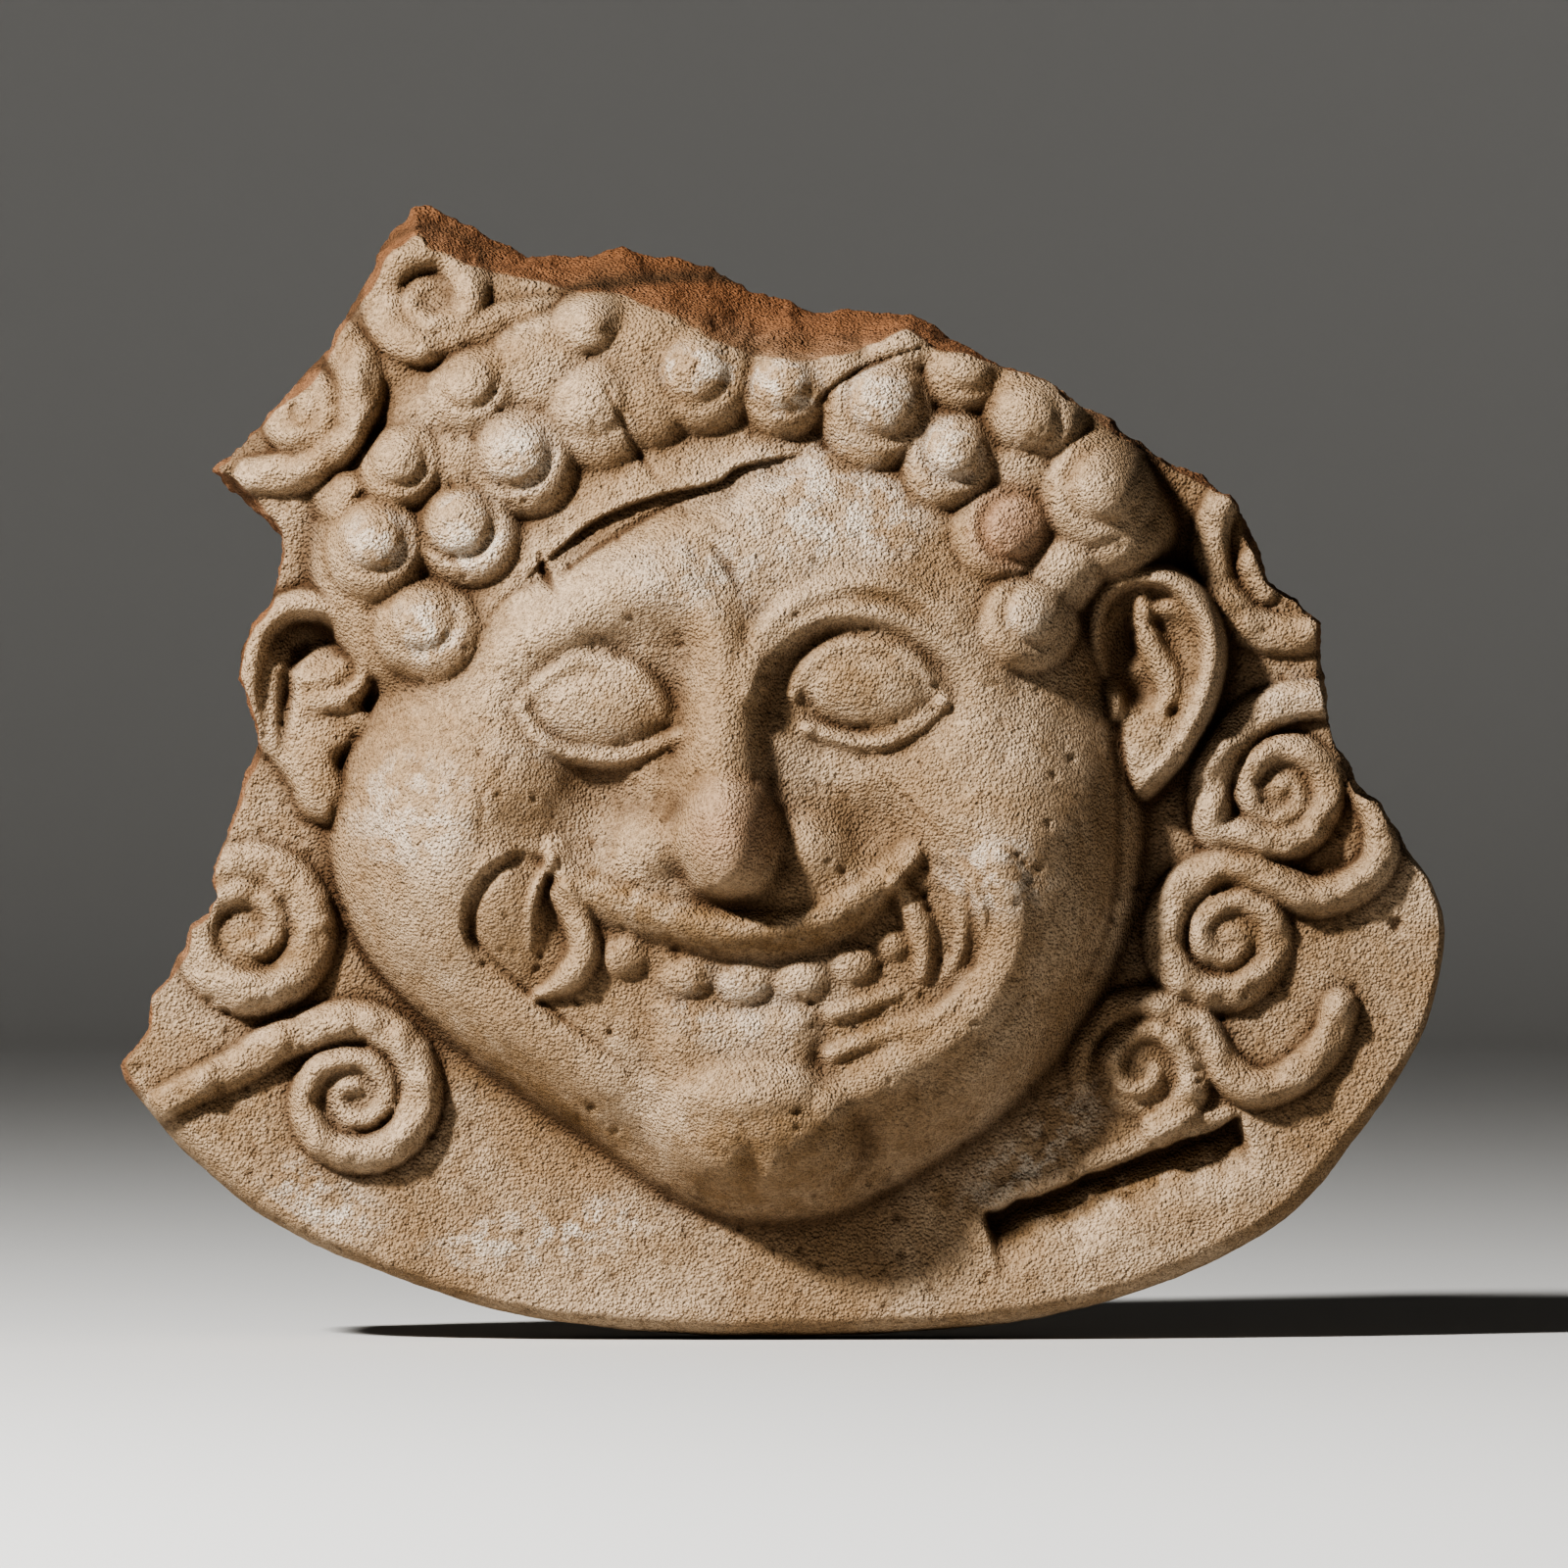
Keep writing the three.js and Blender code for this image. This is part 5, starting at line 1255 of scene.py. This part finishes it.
class NodeBench:
    """A short way to lay out one material's nodes."""

    def __init__(self, material: bpy.types.Material) -> None:
        """Start from a material with its shader in place.

        Args:
            material: The material, with its nodes in use.
        """
        self.tree = material.node_tree
        self.shader = next(n for n in self.tree.nodes if n.type == "BSDF_PRINCIPLED")
        self.place = self.tree.nodes.new("ShaderNodeTexCoord").outputs["Object"]

    def link(self, source: Socket, target: Socket) -> None:
        """Join an output to an input."""
        self.tree.links.new(source, target)

    def noise(self, scale: float, detail: float, roughness: float) -> Socket:
        """Return a noise on the object's own coordinates, from its scale, detail and roughness.

        Args:
            scale: How close the noise is.
            detail: How many finer layers it has.
            roughness: How strong those layers are.

        Returns:
            The noise, from 0 to 1.
        """
        node = self.tree.nodes.new("ShaderNodeTexNoise")
        node.inputs["Scale"].default_value = scale
        node.inputs["Detail"].default_value = detail
        node.inputs["Roughness"].default_value = roughness
        self.link(self.place, node.inputs["Vector"])
        return node.outputs[0]

    def cells(self, scale: float, low: float, high: float) -> Socket:
        """Return round grains or pits, read by the distance from the middles of even cells.

        Args:
            scale: How close the cells are.
            low: Distance at which the result is 0.
            high: Distance at which the result is 1.

        Returns:
            Their height, from 0 to 1.
        """
        node = self.tree.nodes.new("ShaderNodeTexVoronoi")
        node.inputs["Scale"].default_value = scale
        self.link(self.place, node.inputs["Vector"])
        return self.ramp(node.outputs["Distance"], low, high)

    def mask(self, name: str) -> Socket:
        """Return one of the mesh's own attributes, by name.

        Args:
            name: The attribute's name.

        Returns:
            Its value.
        """
        node = self.tree.nodes.new("ShaderNodeAttribute")
        node.attribute_name = name
        return node.outputs["Fac"]

    def maths(self, kind: str, a: Socket, b: Socket | float) -> Socket:
        """Return a sum or product of a socket and a socket or number.

        Args:
            kind: The node's operation.
            a: First term.
            b: Second term.

        Returns:
            The result.
        """
        node = self.tree.nodes.new("ShaderNodeMath")
        node.operation = kind
        self.link(a, node.inputs[0])
        if isinstance(b, (int, float)):
            node.inputs[1].default_value = b
        else:
            self.link(b, node.inputs[1])
        return node.outputs[0]

    def scale(self, a: Socket, share: float) -> Socket:
        """Return a socket times a number."""
        return self.maths("MULTIPLY", a, share)

    def product(self, a: Socket, b: Socket) -> Socket:
        """Return the product of two sockets."""
        return self.maths("MULTIPLY", a, b)

    def sum(self, a: Socket, b: Socket) -> Socket:
        """Return the sum of two sockets."""
        return self.maths("ADD", a, b)

    def ramp(self, a: Socket, low: float, high: float) -> Socket:
        """Return 0 at low and 1 at high, clamped, with a soft step between.

        Args:
            a: What is read.
            low: Where the result is 0.
            high: Where the result is 1.

        Returns:
            The result.
        """
        node = self.tree.nodes.new("ShaderNodeMapRange")
        node.interpolation_type = "SMOOTHSTEP"
        node.inputs["From Min"].default_value = min(low, high)
        node.inputs["From Max"].default_value = max(low, high)
        node.inputs["To Min"].default_value = 0.0 if low < high else 1.0
        node.inputs["To Max"].default_value = 1.0 if low < high else 0.0
        self.link(a, node.inputs["Value"])
        return node.outputs[0]

    def mix(self, share: Socket, a: Socket | tuple, b: tuple) -> Socket:
        """Return a colour mixed toward another by a share.

        Args:
            share: How far toward b.
            a: First colour.
            b: Second colour.

        Returns:
            The mixed colour.
        """
        node = self.tree.nodes.new("ShaderNodeMix")
        node.data_type = "RGBA"
        self.link(share, node.inputs[0])
        if isinstance(a, tuple):
            node.inputs[6].default_value = (*a, 1.0)
        else:
            self.link(a, node.inputs[6])
        node.inputs[7].default_value = (*b, 1.0)
        return node.outputs[2]

    def bump(self, height: Socket, distance: float) -> None:
        """Raise the surface's grain by a distance in metres.

        Args:
            height: The grain, from 0 to 1.
            distance: How high 1 stands.
        """
        node = self.tree.nodes.new("ShaderNodeBump")
        node.inputs["Strength"].default_value = 1.0
        node.inputs["Distance"].default_value = distance
        self.link(height, node.inputs["Height"])
        self.link(node.outputs["Normal"], self.shader.inputs["Normal"])


@dataclass
class Antefix:
    """The whole piece of fired clay: its carving, its edge and its finish."""

    head: Head = Head()
    forms: FaceForms = FaceForms()
    hair: Hair = Hair()
    ears: Sequence[Ear] = (RIGHT_EAR, LEFT_EAR)
    snakes: Sequence[Snake] = SNAKES
    lumps: Sequence[Form] = (
        Ridge(((52, -58.6), (60, -55.8), (68, -52.4), (75, -50.8)), (1.8, 1.6, 2.2, 1.4),
              (0.6, 0.5, 1.5, 0.7), 1),
        Ridge(((34.6, -66.6), (38, -64), (44, -61.8)), (1.8, 2, 1.5), (0.6, 1.1, 0.4), 1))
    losses: Losses = Losses()
    edge: Edge = Edge()
    wear: Wear = Wear()
    paint: Paint = Paint()
    shade: Shade = Shade()
    finish: Terracotta = Terracotta()
    pitch: float = 0.48
    ear_join: float = 1.2
    coil_wear: Sequence[tuple[float, float]] = ((3.0, 0.12), (1.2, 0.09))  # size and share
    coil_softening: float = 0.3
    break_lumps: Sequence[tuple[float, float]] = ((8.0, 0.9), (2.6, 0.4), (1.1, 0.24))  # size and height
    rim_share: float = 0.25  # how much of the lumps shows on the worn rim
    break_share: float = 0.95  # how much more shows on a break
    bare: float = 0.05  # heights under this are open ground, in millimetres
    edge_reach: float = 4.0
    wall_rings: int = 24
    turn_rings: int = 5  # how many of them turn in to the back
    fade_rings: float = 3.0
    back_rings: Sequence[float] = (0.996, 0.985, 0.96, 0.91, 0.83, 0.74, 0.64, 0.53, 0.42, 0.31, 0.20, 0.10)
    back_swell: float = 0.5
    back_waves: Point = (26.0, 7.0)  # sizes of its broad and its small waves
    small_wave: float = 0.35
    beyond_from: float = 0.1  # how near the edge the colour of the break starts
    beyond_width: float = 0.5
    back_clean: float = 0.4  # depth of plain clay at the back

    def __post_init__(self) -> None:
        """Lay out the grid and the scale from the frame."""
        low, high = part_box("antefix")
        self.scale = (high[0] - low[0]) / (DRAWN_WIDTH * MM)
        self.back = high[1]
        self.clay = Clay(-118, 118, -94, 109, self.pitch)
        self.rng = np.random.default_rng(SEED)
        noise.seed_set(SEED)

    def relief(self) -> Layer:
        """Carve the whole front, without its wear.

        Returns:
            Its height over the back, in millimetres.
        """
        clay = self.clay
        head = self.head.carve(clay) + self.forms.carve(clay) * self.head.within(clay) + self.hair.carve(clay)
        ears = np.maximum(*(ear.carve(clay) for ear in self.ears))
        head = np.where(ears > self.bare, blend_max(head, ears, self.ear_join), head)
        coils = clay.blank()
        for snake in self.snakes:
            coils = np.maximum(coils, snake.carve(clay))
        worn = sum((share * clay.grain(self.rng, size) for size, share in self.coil_wear), 1.0)
        coils = clay.soften(coils * worn, self.coil_softening)
        lying = np.where(coils > self.bare, coils + self.head.skirt.layer(clay), 0)
        return PLATE + np.maximum(head, lying) + total(clay, self.lumps) - self.losses.carve(clay, self.rng)

    def wall_point(self, place: float, ring: int) -> tuple[float, float, float]:
        """Place one point of the piece's edge.

        Args:
            place: Where it is round the edge, in steps of the traced edge.
            ring: How many rings it is behind the front.

        Returns:
            Its place in millimetres, before the rings are roughened.
        """
        names = ("front", "silhouette", "back", "depth", "height", "kind")
        front, outer, back, depth, height, kind = (between(self.trace[name], place) for name in names)
        turn = self.wall_rings - self.turn_rings
        if ring <= turn:
            t = ring / turn
            straight = np.array([t, t])
            round_off = np.array([math.sin(t * math.pi / 2), 1 - math.cos(t * math.pi / 2)])
            out, down = straight * kind + round_off * (1 - kind)
            x, z = front + (outer - front) * out
            return x, -(height + (depth - height) * down), z
        t = (ring - turn) / (self.wall_rings - turn)
        x, z = outer + (back - outer) * t * t
        return x, -depth * (1 - t), z

    def roughen(self, x: float, y: float, z: float, ring: int, kind: float) -> Vector:
        """Break up one point of the edge.

        Args:
            x: Its place across.
            y: Its place in depth.
            z: Its place up.
            ring: How many rings it is behind the front.
            kind: 0 on the rim and 1 on a break.

        Returns:
            The point, moved as a break or a worn rim is.
        """
        fade = min(1.0, ring / self.fade_rings) * min(1.0, (self.wall_rings - ring) / self.fade_rings)
        place = Vector((x, y, z))
        strength = fade * (self.rim_share + self.break_share * kind)
        lumps = (noise.noise_vector(place / size) * height for size, height in self.break_lumps)
        return place + sum(lumps, Vector()) * strength

    def mesh(self) -> bpy.types.Mesh:
        """Build the closed mesh of the piece, in metres.

        Returns:
            The mesh, with its front carved, its edges broken and its back flat.
        """
        clay = self.clay
        plain = self.relief()
        self.heights = plain + self.wear.carve(clay, self.rng)
        self.trace = self.edge.trace(self.rng)
        front = self.trace["front"]
        self.within = clay.inside(front, self.edge_reach)
        self.trace["height"] = clay.read(self.heights, front[:, 0], front[:, 1])
        bm = bmesh.new()
        self.lay_front(bm)
        last = self.build_walls(bm)
        bmesh.ops.pointmerge(bm, verts=last, merge_co=Vector((0.0, self.back_height(0.0, 0.0), 0.0)))
        bmesh.ops.recalc_face_normals(bm, faces=bm.faces)
        bmesh.ops.scale(bm, vec=(self.scale * MM, MM, self.scale * MM), verts=bm.verts)
        mesh = bpy.data.meshes.new("antefix_carving")
        bm.verts.index_update()
        mesh.from_pydata([tuple(vert.co) for vert in bm.verts], [], ordered_faces(bm))
        bm.free()
        return mesh

    def lay_front(self, bm: bmesh.types.BMesh) -> None:
        """Lay the front as a fine grid, trimmed to the edge and raised to the relief.

        Args:
            bm: The empty mesh.
        """
        clay = self.clay
        rows, columns = clay.shape
        bmesh.ops.create_grid(bm, x_segments=columns - 1, y_segments=rows - 1, size=0.5)
        keep = whole_cells(self.within > 0)
        bm.verts.ensure_lookup_table()
        span = (clay.x[-1] - clay.x[0], clay.z[-1] - clay.z[0])
        for vert in bm.verts:
            vert.co.x = clay.x[0] + (vert.co.x + 0.5) * span[0]
            vert.co.z = clay.z[0] + (vert.co.y + 0.5) * span[1]
            vert.co.y = 0.0
        gone = []
        for face in bm.faces:
            middle = face.calc_center_median()
            column = int((middle.x - clay.x[0]) / clay.pitch)
            row = int((middle.z - clay.z[0]) / clay.pitch)
            if not keep[row, column]:
                gone.append(face)
        bmesh.ops.delete(bm, geom=gone, context="FACES")
        layer = bm.verts.layers.float.new("place")
        loop = open_loop(bm)
        places = self.edge.places(np.array([(vert.co.x, vert.co.z) for vert in loop]), self.trace["front"])
        for vert, place in zip(loop, places):
            vert[layer] = place
            vert.co.x, vert.co.z = between(self.trace["front"], place)
        places = np.array([vert.co for vert in bm.verts])
        heights = clay.read(self.heights, places[:, 0], places[:, 2])
        for vert, height in zip(bm.verts, heights):
            vert.co.y = -height

    def back_height(self, x: float, z: float) -> float:
        """Return the depth of the hand-smoothed back.

        Args:
            x: Place across, in millimetres.
            z: Place up, in millimetres.

        Returns:
            The depth, in millimetres.
        """
        broad, small = self.back_waves
        rise = noise.noise(Vector((x / broad, 0.0, z / broad)))
        rise += self.small_wave * noise.noise(Vector((x / small, 3.0, z / small)))
        return -self.back_swell * max(0.0, 0.5 + 0.5 * rise)

    def build_walls(self, bm: bmesh.types.BMesh) -> list[bmesh.types.BMVert]:
        """Draw the edge back from the front, ring by ring, and on across the back.

        Args:
            bm: The mesh with its front laid.

        Returns:
            The vertices of the last ring, round the middle of the back.
        """
        layer = bm.verts.layers.float["place"]
        edges = [edge for edge in bm.edges if edge.is_boundary]
        kinds = self.trace["kind"]
        for ring in range(1, self.wall_rings + 1):
            verts, edges = drawn_out(bm, edges)
            for vert in verts:
                place = vert[layer]
                x, y, z = self.wall_point(place, ring)
                vert.co = self.roughen(x, y, z, ring, float(kinds[int(place) % len(kinds)]))
        for share in self.back_rings:
            verts, edges = drawn_out(bm, edges)
            for vert in verts:
                x, _, z = self.wall_point(vert[layer], self.wall_rings)
                vert.co = Vector((x * share, self.back_height(x * share, z * share), z * share))
        return verts

    def build(self) -> bpy.types.Object:
        """Build, thin out and dress the piece.

        Returns:
            The finished object.
        """
        mesh = self.mesh()
        full = sum(len(p.vertices) - 2 for p in mesh.polygons)
        rough = bpy.data.objects.new("antefix_rough", mesh)
        bpy.context.scene.collection.objects.link(rough)
        thin = rough.modifiers.new("thin", "DECIMATE")
        thin.ratio = min(1.0, TRIANGLES / full)
        shown = rough.evaluated_get(bpy.context.evaluated_depsgraph_get())
        finished = bpy.data.meshes.new_from_object(shown)
        bpy.data.objects.remove(rough)
        finished.name = "antefix_carving"
        finished.shade_smooth()
        piece = bpy.data.objects.new("antefix_carving", finished)
        bpy.context.scene.collection.objects.link(piece)
        self.colour(finished)
        finished.materials.append(self.finish.material())
        kept = sum(len(p.vertices) - 2 for p in finished.polygons)
        log.info("antefix_carving: %d triangles from %d", kept, full)
        return piece

    def colour(self, mesh: bpy.types.Mesh) -> None:
        """Write the patches, the painted shade of the hollows and the painted highlight, partly rubbed wear,
        of the crests on the mesh as attributes.

        Args:
            mesh: The finished mesh.
        """
        clay = self.clay
        places = np.empty(len(mesh.vertices) * 3)
        mesh.vertices.foreach_get("co", places)
        x, y, z = places.reshape(-1, 3).T / MM
        x, z = x / self.scale, z / self.scale
        beyond = ease((self.beyond_from - clay.read(self.within, x, z)) / self.beyond_width)
        layers = {**self.paint.layers(clay), **self.shade.layers(clay, self.heights)}
        for name, layer in layers.items():
            values = clay.read(layer, x, z)
            # the painted shade of the hollows runs over the breaks too; the fresh colour keeps to the breaks
            # and the other patches to the front
            if name == "fresh":
                values = values * beyond
            elif name != "hollow":
                values = values * (1 - beyond)
            values = np.where(y > self.back / MM - self.back_clean, 0.0, values)
            attribute = mesh.attributes.new(name, "FLOAT", "POINT")
            attribute.data.foreach_set("value", np.clip(values, 0, 1).astype(np.float32))


def drawn_out(bm: bmesh.types.BMesh,
              edges: list[bmesh.types.BMEdge]) -> tuple[list[bmesh.types.BMVert], list[bmesh.types.BMEdge]]:
    """Draw open edges out into a new ring of faces.

    Args:
        bm: The mesh.
        edges: Its open edges.

    Returns:
        The new vertices and the new open edges.
    """
    made = bmesh.ops.extrude_edge_only(bm, edges=edges)["geom"]
    verts = [item for item in made if isinstance(item, bmesh.types.BMVert)]
    return verts, [item for item in made if isinstance(item, bmesh.types.BMEdge) and item.is_boundary]


def ordered_faces(bm: bmesh.types.BMesh) -> list[tuple[int, ...]]:
    """List the faces in one fixed order, because the operators' own order differs from run to run.

    Args:
        bm: The mesh, with its vertices numbered.

    Returns:
        Each face's vertices, from the lowest number on round, in rising order.
    """
    faces = []
    for face in bm.faces:
        ring = [vert.index for vert in face.verts]
        first = ring.index(min(ring))
        faces.append(tuple(ring[first:] + ring[:first]))
    return sorted(faces)


def whole_cells(inside: np.ndarray) -> np.ndarray:
    """Choose the grid cells that lie wholly inside, with no two joined by a corner alone.

    Args:
        inside: Whether each node of the grid is inside.

    Returns:
        Whether each cell is kept.
    """
    keep = inside[:-1, :-1] & inside[1:, :-1] & inside[:-1, 1:] & inside[1:, 1:]
    while True:
        padded = np.pad(keep, 1)
        sides = (padded[:-2, 1:-1].astype(int) + padded[2:, 1:-1] + padded[1:-1, :-2] + padded[1:-1, 2:])
        lone = keep & (sides < 2)
        a, b, c, d = padded[:-1, :-1], padded[1:, 1:], padded[:-1, 1:], padded[1:, :-1]
        pinch = (a & b & ~c & ~d) | (c & d & ~a & ~b)
        pinch_cells = pinch[:-1, :-1] & keep | pinch[1:, 1:] & keep
        if not lone.any() and not pinch.any():
            return keep
        keep = keep & ~lone & ~pinch_cells


@dataclass(frozen=True)
class Lamp:
    """A round soft lamp that is turned to the piece."""

    name: str
    place: tuple[float, float, float]
    size: float
    watts: float

    def hang(self, target: Vector) -> None:
        """Hang the lamp, out of the camera's sight.

        Args:
            target: The place that it is turned to.
        """
        light = bpy.data.lights.new(self.name, "AREA")
        light.shape = "DISK"
        light.size = self.size
        light.energy = self.watts
        lamp = bpy.data.objects.new(self.name, light)
        lamp.location = self.place
        lamp.rotation_euler = (target - Vector(self.place)).to_track_quat("-Z", "Y").to_euler()
        lamp.visible_camera = False
        bpy.context.scene.collection.objects.link(lamp)


@dataclass(frozen=True)
class Studio:
    """The pale floor, the backdrop, the lights and the camera."""

    floor_gap: float = 0.0005
    radius: float = 4.0
    wall: float = 4.0
    bend: float = 1.2
    bend_steps: int = 12
    round_steps: int = 96
    paper_roughness: float = 0.9
    pale: tuple[float, float, float] = (0.60, 0.59, 0.57)
    distance: float = 2.5
    sensor: float = 36.0
    sight: float = 60.0
    image_px: float = 1600.0
    px_per_mm: float = 6.0
    look_up: float = 0.005
    rim_depth: float = 0.012  # how far in front of the back the camera's scale is right
    lamps: Sequence[Lamp] = (
        Lamp("key", (-1.04, -1.12, 1.08), 0.2, 57.0), Lamp("fill", (1.5, -1.1, 0.2), 1.0, 0.6))
    target: tuple[float, float, float] = (0.0, -0.02, 0.0)
    room_tint: tuple[float, float, float] = (1.0, 0.98, 0.95)
    room_strength: float = 0.018
    look: str = "AgX - Very High Contrast"

    def build(self, lowest: float) -> None:
        """Build everything round the piece, on a floor just under its lowest point.

        Args:
            lowest: Height of the piece's lowest point, in metres.
        """
        self.backdrop(lowest - self.floor_gap)
        self.lights()
        self.camera()

    def backdrop(self, level: float) -> None:
        """Spin a round floor that bends up into a wall all round.

        Args:
            level: Height of the floor.
        """
        bm = bmesh.new()
        points = [(0.0, 0.0), (self.radius - self.bend, 0.0)]
        for step in range(1, self.bend_steps + 1):
            angle = step / self.bend_steps * math.pi / 2
            points.append((self.radius - self.bend + self.bend * math.sin(angle),
                           self.bend * (1 - math.cos(angle))))
        points.append((self.radius, self.wall))
        verts = [bm.verts.new((x, 0.0, level + z)) for x, z in points]
        edges = [bm.edges.new(pair) for pair in zip(verts[:-1], verts[1:])]
        bmesh.ops.spin(bm, geom=[*verts, *edges], cent=(0, 0, level), axis=(0, 0, 1), angle=2 * math.pi,
                       steps=self.round_steps, use_merge=True)
        bmesh.ops.remove_doubles(bm, verts=bm.verts, dist=1e-5)
        bmesh.ops.recalc_face_normals(bm, faces=bm.faces)
        bmesh.ops.reverse_faces(bm, faces=bm.faces)
        mesh = bpy.data.meshes.new("studio_floor")
        bm.to_mesh(mesh)
        bm.free()
        mesh.shade_smooth()
        floor = bpy.data.objects.new("studio_floor", mesh)
        bpy.context.scene.collection.objects.link(floor)
        paper = bpy.data.materials.new("pale_paper")
        paper.use_nodes = True
        shader = next(n for n in paper.node_tree.nodes if n.type == "BSDF_PRINCIPLED")
        shader.inputs["Base Color"].default_value = (*self.pale, 1.0)
        shader.inputs["Roughness"].default_value = self.paper_roughness
        mesh.materials.append(paper)
        log.info("studio_floor: %d faces", len(mesh.polygons))

    def lights(self) -> None:
        """Hang a key on the upper left, a weak fill on the right and a pale surround."""
        for lamp in self.lamps:
            lamp.hang(Vector(self.target))
        world = bpy.data.worlds.new("pale_room")
        world.use_nodes = True
        background = next(n for n in world.node_tree.nodes if n.type == "BACKGROUND")
        background.inputs["Color"].default_value = (*self.room_tint, 1.0)
        background.inputs["Strength"].default_value = self.room_strength
        bpy.context.scene.world = world
        bpy.context.scene.view_settings.look = self.look

    def camera(self) -> None:
        """Set the camera straight in front, at the photograph's scale on the plane of the rim."""
        data = bpy.data.cameras.new("camera")
        data.sensor_width = self.sensor
        width = self.image_px / self.px_per_mm * MM
        data.lens = data.sensor_width * (self.distance - self.rim_depth) / width
        data.clip_end = self.sight
        camera = bpy.data.objects.new("camera", data)
        camera.location = (0.0, -self.distance, self.look_up)
        camera.rotation_euler = (math.pi / 2, 0.0, 0.0)
        bpy.context.scene.collection.objects.link(camera)
        bpy.context.scene.camera = camera


def main() -> None:
    """Build the antefix and the studio round it."""
    logging.basicConfig(level=logging.INFO, format="%(name)s: %(message)s")
    piece = Antefix().build()
    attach(piece, "root")
    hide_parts("antefix")
    Studio().build(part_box("antefix")[0][2])


if __name__ == "__main__":
    main()
